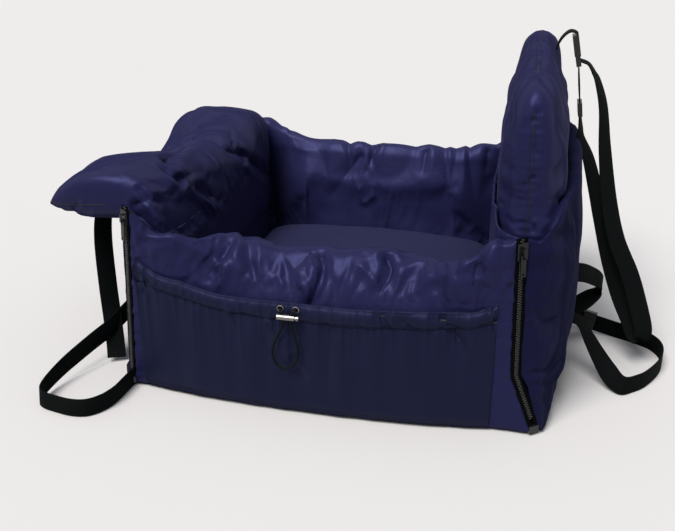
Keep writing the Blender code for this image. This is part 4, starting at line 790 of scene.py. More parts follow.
def make_studio():
    """A pale floor, a pale sky that brightens upwards, and a soft key light high over the camera's left.

    The camera sees the floor paler than it bounces light, as on a lit paper sweep a way behind the part.
    """
    bpy.context.scene.view_settings.view_transform = "Standard"
    world = bpy.data.worlds.new("studio")
    bpy.context.scene.world = world
    world.use_nodes = True
    nodes, links = world.node_tree.nodes, world.node_tree.links
    sky = nodes["Background"]
    sky.inputs["Color"].default_value = (*SKY_COLOUR, 1)
    height = nodes.new("ShaderNodeSeparateXYZ")
    links.new(nodes.new("ShaderNodeTexCoord").outputs["Generated"], height.inputs[0])
    links.new(span(nodes, links, height.outputs["Z"], SKY_LOW, SKY_HIGH), sky.inputs["Strength"])
    backdrop_shader(nodes, links, BACKDROP, sky.outputs[0], nodes["World Output"].inputs["Surface"])

    bpy.ops.mesh.primitive_plane_add(size=30)
    floor = bpy.context.object
    floor.name = "studio_floor"
    finish, nodes, links, shader = new_finish("floor_paper")
    shader.inputs["Roughness"].default_value = 0.95
    shader.inputs["Specular IOR Level"].default_value = 0.0
    place = nodes.new("ShaderNodeTexCoord").outputs["Object"]
    paper = ramp(nodes, links, noise(nodes, links, place, 3.0),
                 [part - FLOOR_MOTTLE for part in FLOOR_SHOWN], [part + FLOOR_MOTTLE for part in FLOOR_SHOWN])
    seen = ramp(nodes, links, seen_rays(nodes, links), FLOOR_BOUNCE, FLOOR_SHOWN)
    links.new(paper, seen.node.inputs["B"])
    links.new(seen, shader.inputs["Base Color"])
    floor.data.materials.append(finish)

    key = bpy.data.objects.new("key", bpy.data.lights.new("key", "SUN"))
    key.data.energy = KEY_STRENGTH
    key.data.angle = KEY_ANGLE
    key.location = KEY_PLACE
    key.rotation_euler = (-Vector(KEY_PLACE)).to_track_quat("-Z", "Y").to_euler()
    bpy.context.scene.collection.objects.link(key)


make_camera()
make_studio()


# Cloth

STUFFED = []


def stuff(piece, hold, pressure, slack, cap):
    """Readies a closed skin for settling: fabric cut wider than its outline by slack, and filled.

    hold(places) says from 0 to 1 how firmly each point is sewn, and cap is how far one may move.
    """
    group = piece.vertex_groups.new(name="sewn")
    weights = np.clip(hold(places_of(piece)), 0, 1)
    steps = np.round(weights * 20).astype(int)
    for step in range(1, 21):
        chosen = np.flatnonzero(steps == step)
        if len(chosen):
            group.add(chosen.tolist(), step / 20, "REPLACE")
    cloth = piece.modifiers.new("filling", "CLOTH")
    fabric = cloth.settings
    fabric.quality = 5
    fabric.mass = 0.2
    fabric.tension_stiffness = CLOTH_STIFFNESS
    fabric.compression_stiffness = CLOTH_STIFFNESS
    fabric.shear_stiffness = CLOTH_SHEAR
    fabric.bending_stiffness = CLOTH_BENDING
    fabric.air_damping = 2
    fabric.vertex_group_mass = group.name
    fabric.shrink_min = -slack
    fabric.shrink_max = -slack
    fabric.use_pressure = True
    fabric.uniform_pressure_force = pressure
    fabric.effector_weights.gravity = 0
    cloth.collision_settings.use_collision = False
    cloth.point_cache.frame_end = SETTLE_FRAMES
    STUFFED.append((piece, cap))


def settle():
    """Runs the cloth, then keeps each point's move, softly limited to its cap: cap tanh(move / cap)."""
    before = [places_of(piece) for piece, cap in STUFFED]
    for moment in range(1, SETTLE_FRAMES + 1):
        bpy.context.scene.frame_set(moment)
    graph = bpy.context.evaluated_depsgraph_get()
    for (piece, cap), start in zip(STUFFED, before):
        settled = places_of(piece.evaluated_get(graph))
        piece.modifiers.remove(piece.modifiers["filling"])
        piece.vertex_groups.clear()
        move = settled - start
        size = np.linalg.norm(move, axis=1, keepdims=True)
        put_places(piece, start + move * cap * np.tanh(size / cap) / np.maximum(size, 1e-9))
    bpy.context.scene.frame_set(1)


def beside(places, path):
    """Each place's distance from a path of points, and how far along it its nearest point lies."""
    near = np.full(len(places), np.inf)
    along = np.zeros(len(places))
    steps = np.linalg.norm(np.diff(path, axis=0), axis=1)
    reached = np.concatenate([[0], np.cumsum(steps)])
    for start, end, low, high in zip(path[:-1], path[1:], reached[:-1], reached[1:]):
        run = end - start
        t = np.clip((places - start) @ run / (run @ run), 0, 1)
        distance = np.linalg.norm(places - start - t[:, None] * run, axis=1)
        closer = distance < near
        near = np.where(closer, distance, near)
        along = np.where(closer, mix(low, high, t), along)
    return near, along, reached[-1]


def press(piece, path, depth, width, fade=(1.0, 0.15), facing=None):
    """Presses a fold along a path of 3-D points, and raises soft shoulders beside it.

    At distance d a point moves in by depth * (exp(-d / w) - 0.25 exp(-((d - 2.6 w) / 1.4 w)^2)),
    and the depth fades along the path from its first share to its second.
    """
    places, normals = places_of(piece), normals_of(piece)
    near, along, length = beside(places, np.asarray(path, float))
    profile = np.exp(-near / width) - 0.25 * np.exp(-((near - 2.6 * width) / (1.4 * width)) ** 2)
    amount = depth * profile * mix(fade[0], fade[1], along / length)
    if facing is not None:
        amount = amount * ease((normals @ unit(np.asarray(facing, float)) + 0.1) / 0.5)
    put_places(piece, places - normals * amount[:, None])


def pucker(piece, path, depth, waves, reach, seed):
    """Gathers beside a seam: an uneven ripple along it that dies away over the reach, exp(-d / reach)."""
    places, normals = places_of(piece), normals_of(piece)
    near, along, length = beside(places, np.asarray(path, float))
    amount = depth * ripple(along, seed, waves) * np.exp(-near / reach)
    put_places(piece, places + normals * amount[:, None])


def creases(piece, waves, depth, seed, where):
    """Soft hills between crisp valleys: the least |sin| of waves with given lengths and directions.

    Each wave's phase wanders by a slow sine of the place, and where(places) fades the depth.
    """
    places, normals = places_of(piece), normals_of(piece)
    draw = np.random.default_rng(seed)
    hills = np.ones(len(places))
    for length, way in waves:
        bend = draw.normal(size=3)
        wander = 1.3 * np.sin(places @ unit(bend) * math.tau / (length * 2.6) + draw.uniform(0, math.tau))
        phase = math.pi * (places @ unit(np.asarray(way, float))) / length + wander + draw.uniform(0, math.pi)
        hills = np.minimum(hills, np.sqrt(np.sin(phase) ** 2 + 0.01))
    amount = depth * (hills - 0.5) * where(places)
    put_places(piece, places + normals * amount[:, None])


def photo_folds(piece, folds):
    """Folds given by pixels of the photograph: each is cast on the piece and pressed there."""
    graph = bpy.context.evaluated_depsgraph_get()
    tree = BVHTree.FromObject(piece, graph)
    for pixels, depth, width, fade in folds:
        path = []
        for pixel in pixels:
            start, way = photo_ray(pixel)
            hit = tree.ray_cast(start, way)[0]
            if hit is not None:
                path.append(hit)
        if len(path) > 1:
            fine = catmull(path, np.linspace(0, 1, 4 * len(path)))
            press(piece, fine, depth * FOLD_DEEPER, width * FOLD_WIDER, fade, facing=-photo_ray(pixels[0])[1])


# Drawcord: the route's points are the frame's own

DRAWCORD_ROUTE = (
    (-0.0350, -0.2586, 0.1475), (-0.0350, -0.2608, 0.1475), (-0.0346, -0.2639, 0.1470),
    (-0.0334, -0.2661, 0.1458), (-0.0315, -0.2670, 0.1442), (-0.0301, -0.2670, 0.1426),
    (-0.0300, -0.2670, 0.1390), (-0.0300, -0.2670, 0.1352), (-0.0308, -0.2668, 0.1300),
    (-0.0345, -0.2665, 0.1200), (-0.0400, -0.2662, 0.1090), (-0.0440, -0.2662, 0.0970),
    (-0.0450, -0.2662, 0.0880), (-0.0425, -0.2662, 0.0785), (-0.0365, -0.2662, 0.0722),
    (-0.0290, -0.2662, 0.0702), (-0.0220, -0.2662, 0.0730), (-0.0162, -0.2662, 0.0795),
    (-0.0135, -0.2662, 0.0890), (-0.0136, -0.2662, 0.0990), (-0.0160, -0.2663, 0.1110),
    (-0.0190, -0.2666, 0.1220), (-0.0206, -0.2669, 0.1300), (-0.0210, -0.2670, 0.1352),
    (-0.0210, -0.2670, 0.1390), (-0.0209, -0.2670, 0.1426), (-0.0195, -0.2670, 0.1442),
    (-0.0176, -0.2661, 0.1458), (-0.0164, -0.2639, 0.1470), (-0.0160, -0.2608, 0.1475),
    (-0.0160, -0.2586, 0.1475),
)
CORD_DIAMETER = 0.0030


def steady_sides(path, first):
    """A side direction carried along a path without twisting."""
    along = unit(np.gradient(path, axis=0))
    sides = [np.asarray(first, float)]
    for way in along[1:]:
        side = sides[-1] - way * (sides[-1] @ way)
        sides.append(side / np.linalg.norm(side))
    return np.array(sides)


def make_drawcord():
    """The drawcord's loop: a round section carried along its hanging route."""
    path = catmull(DRAWCORD_ROUTE, np.linspace(0, 1, 241))
    sides = steady_sides(path, (1, 0, 0))
    piece = sweep("drawcord", path, sides, circle_outline(CORD_DIAMETER / 2, 12), BRAID)
    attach(piece, "tub")
    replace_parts(piece, "drawcord_loop")


make_drawcord()

SPRING_WIRE = 0.0005
SPRING_TURNS = 3


def make_spring():
    """The lock's spring: a helix as long as the frame's own."""
    places = places_of(bpy.data.objects["cord_lock_spring"])
    low, high = places.min(axis=0), places.max(axis=0)
    middle, radius = (low + high) / 2, (high[1] - low[1] - SPRING_WIRE) / 2
    turn = np.linspace(0, math.tau * SPRING_TURNS, 16 * SPRING_TURNS + 1)
    x = np.linspace(low[0] + SPRING_WIRE / 2, high[0] - SPRING_WIRE / 2, len(turn))
    path = np.column_stack([x, middle[1] + radius * np.cos(turn), middle[2] + radius * np.sin(turn)])
    sides = np.column_stack([0 * turn, np.cos(turn), np.sin(turn)])
    coil = sweep("cord_lock_coil", path, sides, circle_outline(SPRING_WIRE / 2, 8), GUNMETAL)
    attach(coil, "tub")
    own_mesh(coil)
    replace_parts(coil, "cord_lock_spring")


make_spring()


# Zip lines

def zip_x(side, end, z):
    """The zip's middle line at a height: straight, but for a kink low on the front right one."""
    if side == RIGHT and end == FRONT:
        above = HALF_LENGTH + KINK_SHIFT * (CORNER_HEIGHT - z) / (CORNER_HEIGHT - KINK_Z)
        below = HALF_LENGTH + KINK_SHIFT + KINK_LEAN * (1 - z / KINK_Z)
        return np.where(z > KINK_Z, above, below)
    return side * (HALF_LENGTH + ZIP_LEAN * (1 - z / CORNER_HEIGHT))


def zip_axes(side, end):
    """The zip's directions: across it towards the end of the tub, and out of its face."""
    across = np.array([side * math.cos(ZIP_TURN), -end * math.sin(ZIP_TURN), 0.0])
    outward = np.array([side * math.sin(ZIP_TURN), end * math.cos(ZIP_TURN), 0.0])
    return across, outward


def zip_line(side, end, z):
    """The zip's middle line as places at the given heights."""
    return np.column_stack([zip_x(side, end, z), np.full(len(z), end * HALF_WIDTH), z])


def make_zip(side, end):
    """One corner's zip: two woven tapes, and two rows of moulded teeth that mesh."""
    label = f"zip_{'front' if end == FRONT else 'rear'}_{'left' if side == LEFT else 'right'}"
    across, outward = zip_axes(side, end)
    z = np.linspace(ZIP_FOOT_Z, CORNER_HEIGHT, 60)
    path = zip_line(side, end, z)
    width = ZIP_HALF_SPAN - TAPE_INNER
    outline = round_outline(width, TAPE_HALF_THICK * 2, TAPE_HALF_THICK / 2, 2)
    for half, way in (("wall", -1), ("end", 1)):
        middle = path + across * way * (TAPE_INNER + width / 2)
        tape = sweep(f"{label}_{half}_weave", middle, np.tile(across, (len(z), 1)), outline, TAPE)
        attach(tape, "tub")
        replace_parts(tape, f"{label}_{half}_tape")
    rows = np.arange(ZIP_FOOT_Z + TOOTH_PITCH * 3, CORNER_HEIGHT - TOOTH_PITCH / 2, TOOTH_PITCH)
    heights = np.concatenate([rows, rows + TOOTH_PITCH / 2])
    ways = np.repeat([-1, 1], len(rows))
    spots = zip_line(side, end, heights) + across * (ways * TOOTH_LENGTH / 3)[:, None]
    up = np.cross(across, outward)
    axes = np.tile(np.stack([across, up, outward]), (len(heights), 1, 1))
    head = TOOTH_HALF_THICK
    tooth = stack(round_outline(TOOTH_LENGTH, TOOTH_HEIGHT, TOOTH_HEIGHT * 0.3, 2),
                  ((0.62, -head), (1.0, -head * 0.55), (1.0, head * 0.55), (0.62, head)))
    teeth = repeat(f"{label}_teeth", tooth, spots, axes, TOOTH)
    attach(teeth, "tub")


for corner_side in (LEFT, RIGHT):
    for corner_end in (FRONT, REAR):
        make_zip(corner_side, corner_end)


# Walls

def girth(share, half, height):
    """A padded panel's section: up its outer face, round its top, down its inner face, and across its foot.

    The run along the section is share times its whole length, and the top is half a circle.
    """
    half = np.maximum(half, 1e-7)
    straight = height - half
    arc = math.pi * half
    run = share * (2 * straight + arc + 2 * half)
    turn = (run - straight) / half
    down = run - straight - arc
    outer, top, inner = run < straight, run < straight + arc, run < 2 * straight + arc
    out = np.select([outer, top, inner], [half, half * np.cos(turn), -half], down - straight - half)
    up = np.select([outer, top, inner], [run, straight + half * np.sin(turn), straight - down], 0)
    return out, up


def edge_round(distance, run):
    """Falls from 1 to 0 on a quarter circle within the last run before an edge."""
    return np.sqrt(np.clip(1 - (1 - np.clip(distance / run, 0, 1)) ** 2, 0, 1))


def wall_skin(name, end, ridge_x, ridge_z, finish):
    """A long padded wall from zip to zip: its section's half thickness and height change along X.

    The side that faces -Y slopes back towards the crest, and the inner side swells in half a sine.
    """
    u = np.linspace(-1, 1, WALL_STATIONS)[:, None]
    share = np.arange(WALL_GIRTH)[None] / WALL_GIRTH
    x = u * HALF_LENGTH
    ridge = through(x, ridge_x, ridge_z)
    narrowing = ease((np.abs(x) - WALL_FULL_X) / (WALL_THIN_X - WALL_FULL_X))
    half = mix(WALL_HALF, WALL_END_HALF, narrowing) * edge_round(HALF_LENGTH - np.abs(x), WALL_EDGE_RUN)
    out, up = girth(share, half, ridge - FOOT_Z)
    z = FOOT_Z + up
    span = ZIP_TAPE_SHOWN * math.cos(ZIP_TURN)
    left, right = zip_x(LEFT, end, z) + span, zip_x(RIGHT, end, z) - span
    place_x = mix(left, right, (u + 1) / 2)
    bulge = WALL_BULGE * (1 - u ** 4) * np.sin(np.clip(up / WALL_BULGE_TOP, 0, 1) * math.pi) ** 0.5
    face = HALF_WIDTH + WALL_EDGE_STAND + bulge
    inward = (out < 0) * np.clip(-out / np.maximum(half, 1e-6), 0, 1)
    rise = np.clip((z - WALL_BELLY_FOOT) / WALL_BELLY_RISE, 0, 1)
    belly = WALL_INNER_BULGE * inward * (1 - narrowing) * np.sin(rise * math.pi)
    facing = np.clip((1 - end * out / np.maximum(half, 1e-6)) / 2, 0, 1)
    rise = ease((z - WALL_SLOPE_FOOT) / (ridge - WALL_SLOPE_FOOT))
    slope = WALL_CREST_SLOPE * facing * (1 - narrowing) * rise
    place_y = end * (face - half + out - belly) + slope
    piece = surface(name, np.stack([place_x, place_y, z], -1), finish, wrap=True)

    def hold(places):
        """How firmly a wall is sewn: at its zips, foot and pocket."""
        depth = end * places[:, 1]
        from_zip = HALF_LENGTH - np.abs(places[:, 0])
        sewn = ease(1 - from_zip / 0.010)
        foot = ease((0.060 - places[:, 2]) / 0.045)
        hem_top = through(places[:, 0], HEM_TOP_X, HEM_TOP_Z)
        behind_pocket = ease((hem_top + 0.020 - places[:, 2]) / 0.020) * (depth > HALF_WIDTH - WALL_HALF)
        return np.maximum.reduce([sewn, foot, behind_pocket * (end == FRONT)])

    stuff(piece, hold, pressure=4.0, slack=0.07, cap=0.0070)
    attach(piece, "tub")
    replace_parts(piece, name.removesuffix("_skin"))
    return piece


# Sleeves

def sleeve_reach(z):
    """How far an end's outer face stands out: less at its foot and a little less at its mouth."""
    low = np.sin(np.clip(z / KINK_Z, 0, 1) * math.pi / 2)
    high = np.clip((z / CORNER_HEIGHT - 0.8) / 0.2, 0, 1)
    return mix(mix(SLEEVE_FOOT_REACH, SLEEVE_REACH, low), SLEEVE_MOUTH_REACH, high)


def plan_curve(turn, powers):
    """A half ring's cosine and sine at turns from -1 to 1, each raised to its own power."""
    cosine = np.abs(np.cos(turn * math.pi / 2)) ** powers[0]
    sine = np.sign(turn) * np.abs(np.sin(turn * math.pi / 2)) ** powers[1]
    return cosine, sine


def even_turns(count, powers, reach, width):
    """Turns from -1 to 1 that lie evenly along a half ring, and how far along it each lies."""
    turns = np.linspace(-1, 1, 4001)
    cosine, sine = plan_curve(turns, powers)
    run = np.concatenate([[0], np.cumsum(np.hypot(np.diff(cosine) * reach, np.diff(sine) * width))])
    even = np.linspace(0, run[-1], count)
    return np.interp(even, run, turns), even


def sleeve_skin(name, side, mouth_z, powers, pressure, cap, finish):
    """An end's outer panel, wrapped round from one corner zip to the other on a half ring."""
    reach_y = HALF_WIDTH - ZIP_TAPE_SHOWN * math.sin(ZIP_TURN)
    turn, run = even_turns(SLEEVE_STATIONS, powers, SLEEVE_REACH - HALF_LENGTH, reach_y)
    turn = turn[:, None]
    cosine, sine = plan_curve(turn, powers)
    share = np.arange(SLEEVE_GIRTH)[None] / SLEEVE_GIRTH
    from_zip = np.minimum(run, run[-1] - run)[:, None]
    half = mix(SLEEVE_EDGE_HALF, SLEEVE_HALF, ease(from_zip / 0.06)) * edge_round(from_zip, 0.008)
    mouth = through(turn, MOUTH_TURNS, mouth_z)
    out, up = girth(share, half, mouth - FOOT_Z)
    z = FOOT_Z + up
    span = ZIP_TAPE_SHOWN * math.cos(ZIP_TURN)
    start = np.where(turn < 0, side * zip_x(side, FRONT, z), side * zip_x(side, REAR, z)) + span
    x = start + (sleeve_reach(z) - start) * cosine
    y = reach_y * sine + 0 * z
    along = unit(np.stack([np.gradient(x, axis=0), np.gradient(y, axis=0)], -1))
    outward = np.stack([along[..., 1], -along[..., 0]], -1)
    inset = (half - out)[..., None] * outward
    points = np.stack([side * (x - inset[..., 0]), y - inset[..., 1], z], -1)
    piece = surface(name, points, finish, wrap=True)

    def hold(places):
        """How firmly a sleeve is sewn: at its zips and foot."""
        at_corner = np.abs(places[:, 1]) > 0.21
        sewn = ease(1 - np.abs(HALF_LENGTH + 0.006 - side * places[:, 0]) / 0.012) * at_corner
        foot = ease((0.030 - places[:, 2]) / 0.022)
        return np.maximum(sewn, foot)

    stuff(piece, hold, pressure=pressure, slack=0.04, cap=cap)
    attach(piece, "tub")
    return piece


def cabin_panel(name, side, mouth_z):
    """The thin panel between a pillow and the cabin, wrapped from one corner zip to the other."""
    reach = CABIN_START_X - CABIN_X[side]
    turn, run = even_turns(CABIN_STATIONS, CABIN_PLAN_POWERS, reach, CABIN_HALF_WIDTH)
    turn = turn[:, None]
    cosine, sine = plan_curve(turn, CABIN_PLAN_POWERS)
    share = np.arange(CABIN_GIRTH)[None] / CABIN_GIRTH
    mouth = through(turn, CABIN_TURNS, mouth_z)
    from_zip = np.minimum(run, run[-1] - run)[:, None]
    half = CABIN_HALF * edge_round(from_zip, 0.004) + 0 * mouth
    out, up = girth(share, half, mouth - CABIN_FOOT_Z)
    gather = mix(0.0012, 0.0040, ease((-turn - 0.3) / 0.3))
    ruffle = gather * ripple(run[:, None], 41 + side, (0.017, 0.026, 0.044))
    ruffle = ruffle * np.exp(-(mouth - CABIN_FOOT_Z - up) / 0.026)
    x = CABIN_START_X - reach * cosine + 0 * up
    y = CABIN_HALF_WIDTH * sine + 0 * up
    along = unit(np.stack([np.gradient(x, axis=0), np.gradient(y, axis=0)], -1))
    outward = np.stack([along[..., 1], -along[..., 0]], -1) * (out + ruffle)[..., None]
    points = np.stack([side * (x + outward[..., 0]), y + outward[..., 1], CABIN_FOOT_Z + up], -1)
    piece = surface(name, points, NAVY, wrap=True)
    refine(piece)
    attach(piece, "tub")
    return piece


# Pillows

def seam_stations(half_width, half_depth, power, count):
    """Places across a pillow and its fullness there, on a squared-off ring: fullness = (1 - v^p)^(1/p)."""
    angle = np.linspace(-math.pi / 2, math.pi / 2, 4001)
    v = np.sign(angle) * np.abs(np.sin(angle)) ** (2 / power)
    full = np.abs(np.cos(angle)) ** (2 / power)
    run = np.concatenate([[0], np.cumsum(np.hypot(np.diff(v) * half_width, np.diff(full) * half_depth))])
    even = np.linspace(0, run[-1], count)
    return np.interp(even, run, v), np.interp(even, run, full)


def smooth_side(points, count):
    """A profile's points joined smoothly and spaced evenly along it."""
    points = np.asarray(points, float)
    return resample(catmull(points, np.linspace(0, 1, 40 * len(points))), count)


def pillow_skin(name, near, mid, far, half_width, half_depth, finish, stations=PILLOW_STATIONS,
                round_girth=PILLOW_GIRTH, power=PILLOW_POWER, seam_shade=0.5, lobes=(0.1, 0.8, 0.1, 0.8),
                flare=None):
    """A pillow lofted along Y between side profiles, closing to a seam along the middle of each end.

    Each profile is its upper and its lower side. From the middle one the shape eases into an end's one
    from v = lobes[0] over a run of lobes[1] towards -Y, and from lobes[2] over lobes[3] towards +Y. A
    point stands off the seam's line, a share seam from upper to lower, by its offset times the fullness.
    """
    half_girth = round_girth // 2
    v, full = seam_stations(half_width, half_depth, power, stations)
    sides = []
    for index in (0, 1):
        ends = [smooth_side(profile[index], half_girth + 1) for profile in (near, mid, far)]
        share = np.where(v < 0, ease((-v - lobes[0]) / lobes[1]), ease((v - lobes[2]) / lobes[3]))
        share = share[:, None, None]
        edge = np.where(v[:, None, None] < 0, ends[0][None], ends[2][None])
        sides.append(mix(ends[1][None], edge, share))
    over, under = sides
    middle = mix(over, under, seam_shade)
    spread = full[:, None, None]
    over, under = middle + (over - middle) * spread, middle + (under - middle) * spread
    outline = np.concatenate([over, under[:, -2:0:-1]], axis=1)
    y = np.broadcast_to(v[:, None] * half_width, outline.shape[:2])
    points = np.stack([outline[..., 0], y, outline[..., 1]], -1)
    if flare is not None:
        points = flare(points)
    return surface(name, points, finish, wrap=True)


def make_backrest():
    """The standing pillow, with a crest that falls on a quarter circle towards its shoulders."""
    profile = (BACKREST_CABIN_SIDE, BACKREST_OUTER_SIDE)

    def shoulders(points):
        """Lowers the upper part near both ends by the shoulder's drop."""
        from_end = PILLOW_HALF_WIDTH - np.abs(points[..., 1])
        drop = SHOULDER_DROP * (1 - edge_round(from_end, SHOULDER_RUN))
        height = ease((points[..., 2] - 0.22) / 0.19)
        return points - np.stack([0 * drop, 0 * drop, drop * height], -1)

    piece = pillow_skin("backrest_cover", profile, profile, profile, PILLOW_HALF_WIDTH, 0.043, NAVY,
                        flare=shoulders)

    def hold(places):
        """How firmly the sleeve grips the pillow."""
        return 0.9 * ease((0.262 - places[:, 2]) / 0.05)

    stuff(piece, hold, pressure=2.4, slack=0.045, cap=0.0042)
    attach(piece, "backrest")
    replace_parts(piece, "backrest_pillow")
    return piece


def make_left_pillow():
    """The pillow whose upper half is folded outwards over the left sleeve."""
    piece = pillow_skin("left_pillow_cover", (LEFT_NEAR_OVER, LEFT_NEAR_UNDER),
                        (LEFT_MID_OVER, LEFT_MID_UNDER), (LEFT_FAR_OVER, LEFT_FAR_UNDER),
                        PILLOW_HALF_WIDTH - 0.002, 0.043, NAVY, seam_shade=0.60, lobes=(0.10, 0.65, 0.30, 0.38))

    def hold(places):
        """How firmly the sleeve grips the pillow, and its mouth the fold."""
        inside = ease((0.200 - places[:, 2]) / 0.03)
        under = ease((0.222 - places[:, 2]) / 0.006) * (places[:, 0] < -0.275) * (places[:, 0] > -0.315)
        return np.maximum(0.9 * inside, 0.9 * under)

    stuff(piece, hold, pressure=2.2, slack=0.05, cap=0.0050)
    return piece


def make_cushion():
    """The loose seat cushion: a flat-bottomed form with a low crown."""
    profile = (CUSHION_OVER, CUSHION_UNDER)
    piece = pillow_skin("seat_cushion_cover", profile, profile, profile, CUSHION_HALF_WIDTH, 0.034,
                        NAVY_SEAT_LIT, stations=64, round_girth=128, power=6.0)
    stuff(piece, lambda places: ease((0.020 - places[:, 2]) / 0.008), pressure=1.0, slack=0.02,
          cap=0.0020)
    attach(piece, "cushion")
    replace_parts(piece, "seat_cushion")
    return piece


# Pocket

def pocket_face(x):
    """How far out the pocket's front stands: fullest in the middle, close to the wall at its ends."""
    centre = (POCKET_LEFT + POCKET_RIGHT) / 2
    fullness = 1 - np.abs((x - centre) / (POCKET_RIGHT - centre)) ** 3
    return HALF_WIDTH + 0.0090 * (1 - (x / HALF_LENGTH) ** 2) + mix(0.0065, 0.0130, fullness), fullness


def make_pocket():
    """The pocket's front with its hem: a band folded over a tunnel, gathered by the drawcord."""
    x = np.linspace(POCKET_LEFT, POCKET_RIGHT, POCKET_STATIONS)[:, None]
    face, fullness = pocket_face(x)
    seam_shade, top = through(x, HEM_SEAM_X, HEM_SEAM_Z), through(x, HEM_TOP_X, HEM_TOP_Z)
    to_end = np.minimum(x - POCKET_LEFT, POCKET_RIGHT - x)
    drawn = 0.0013 + 0.0028 * np.exp(-to_end / 0.016) + 0.0012 * np.exp(-np.abs(x + 0.0255) / 0.030)
    low = np.linspace(1, 0, 64)[None]
    panel_z = mix(seam_shade, POCKET_FOOT_Z, low)
    sag = 0.0030 * fullness * np.sin(low * math.radians(135)) - 0.0035 * ease((low - 0.9) / 0.1)
    below = seam_shade - panel_z
    fine = pleats(x, 5, (0.019, 0.031, 0.052))
    broad = ripple(x, 9, (0.034, 0.055, 0.085))
    folds = drawn * fine * np.exp(-below / 0.030)
    folds = folds + 0.0034 * broad * ease(below / 0.02) * np.exp(-below / 0.075) * ease(to_end / 0.03)
    panel_y = face + sag + folds
    band = np.linspace(0, 1, 15)[None, 1:]
    band_z = mix(seam_shade, top - HEM_ROUND, band)
    swell = HEM_BULGE * np.sin(band * math.pi) ** 0.6
    crimp = 0.35 * drawn * ripple(x + 0.006 * band, 15, (0.0085, 0.0140, 0.022))
    crimp = crimp * np.sin(band * math.pi) ** 0.5
    band_y = face + swell + drawn * fine * (1 - 0.4 * band) + crimp
    turn = np.linspace(0, math.pi, 9)[None, 1:]
    over_z = top - HEM_ROUND + HEM_ROUND * np.sin(turn)
    over_y = band_y[:, -1:] - HEM_ROUND * (1 - np.cos(turn))
    back = np.linspace(0, 1, 8)[None, 1:]
    back_z = mix(top - HEM_ROUND, seam_shade, back)
    back_y = mix(over_y[:, -1:], face + drawn * fine - 0.0012, back)
    z = np.hstack([panel_z, band_z, over_z, back_z])
    y = -np.hstack([panel_y, band_y, over_y, back_y])
    spread = x + 0 * z
    piece = surface("pocket_cover", np.stack([spread, y, z], -1), NAVY_DULL_AND_SHADED, weld=False)
    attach(piece, "tub")
    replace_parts(piece, "pocket_panel", "pocket_hem")
    return piece


def hem_seam_path():
    """The line of the seam under the hem, on the pocket's plain front."""
    x = np.linspace(POCKET_LEFT + 0.004, POCKET_RIGHT - 0.004, 220)
    return np.column_stack([x, -pocket_face(x)[0], through(x, HEM_SEAM_X, HEM_SEAM_Z)])


def on_surface(piece, places, way):
    """Each place carried along a direction onto a piece's surface."""
    tree = BVHTree.FromObject(piece, bpy.context.evaluated_depsgraph_get())
    way = Vector(way)
    hits = [tree.ray_cast(Vector(place) - way * 0.05, way)[0] for place in places]
    return np.array([hit if hit is not None else place for hit, place in zip(hits, places)])


def make_stitches(name, piece, path, way):
    """A row of short thread stitches laid on a piece along a path."""
    length = np.linalg.norm(np.diff(path, axis=0), axis=1).sum()
    line = on_surface(piece, resample(path, int(length / STITCH_PITCH)), way)
    along = unit(np.gradient(line, axis=0))
    out = -np.tile(np.asarray(way, float), (len(line), 1))
    side = unit(np.cross(along, out))
    axes = np.stack([side, unit(np.cross(along, side)), along], 1)
    thread = stack(circle_outline(0.00030, 6), ((0.3, -0.0011), (1.0, -0.0007), (1.0, 0.0007), (0.3, 0.0011)))
    stitches = repeat(name, thread, line, axes, THREAD)
    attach(stitches, "tub")


# Straps

def ribbon(name, route, sides, body, node):
    """A strap of ribbed webbing along a smooth route, its width turning through the side directions."""
    route = np.asarray(route, float)
    count = 12 * (len(route) - 1) + 1
    share = np.linspace(0, 1, count)
    path, turned = catmull(route, share), catmull(np.asarray(sides, float), share)
    piece = sweep(name, path, turned, round_outline(WEB_WIDTH, WEB_THICK, WEB_EDGE), WEB)
    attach(piece, body)
    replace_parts(piece, node)
    return piece


def base_route(side, shares):
    """Places from an end's face: out, along the tub's width, and up from the webbing's own edge."""
    out, along, up = np.asarray(shares, float).T
    return np.column_stack([side * (END_REACH + out * CORNER_HEIGHT), along * HALF_WIDTH * 2,
                            WEB_WIDTH / 2 + up * CORNER_HEIGHT])


def make_straps():
    """Every webbing strap, its route worked out from its shares of the tub's sizes."""
    level = np.array([2.0 / 3, 1.0 / 3])
    out, along, rise = np.asarray(HEADREST_SHARES, float).T
    z = np.interp(rise, (0, level[1], level[0], 1),
                  (0, RIGHT_STRAP_MOUTH_Z, SLOT_PLACE[1] - CLIP_BODY_HEIGHT, SLOT_PLACE[1]))
    ribbon("headrest_webbing", np.column_stack([SLOT_PLACE[0] + out * CORNER_HEIGHT,
                                                STRAP_Y + along * HALF_WIDTH * 2, z]),
           HEADREST_SIDES, "headrest_lead", "headrest_strap")
    out, rise = np.asarray(TAB_SHARES, float).T * BUCKLE_LENGTH
    ribbon("headrest_tab_webbing", np.column_stack([BUCKLE_TOP[0] + out, np.full(len(out), STRAP_Y),
                                                    BUCKLE_TOP[1] + rise]),
           ((0, 1, 0), (0, 1, 0)), "backrest", "headrest_tab")
    out, along, rise = np.asarray(LEFT_HANG_SHARES, float).T
    ribbon("left_hanging_webbing", np.column_stack([-END_REACH - out * CORNER_HEIGHT, along * HALF_WIDTH * 2,
                                                    rise * HANG_TOP_Z]),
           LEFT_HANG_SIDES, "flap_strap", "left_hanging_strap")
    ribbon("left_base_webbing", base_route(LEFT, LEFT_BASE_SHARES), LEFT_BASE_SIDES, "tub", "left_base_strap")
    ribbon("right_base_webbing", base_route(RIGHT, RIGHT_BASE_SHARES), RIGHT_BASE_SIDES, "tub",
           "right_base_strap")
    ribbon("right_sling_webbing", base_route(RIGHT, SLING_SHARES), SLING_SIDES, "tub", "right_sling_strap")


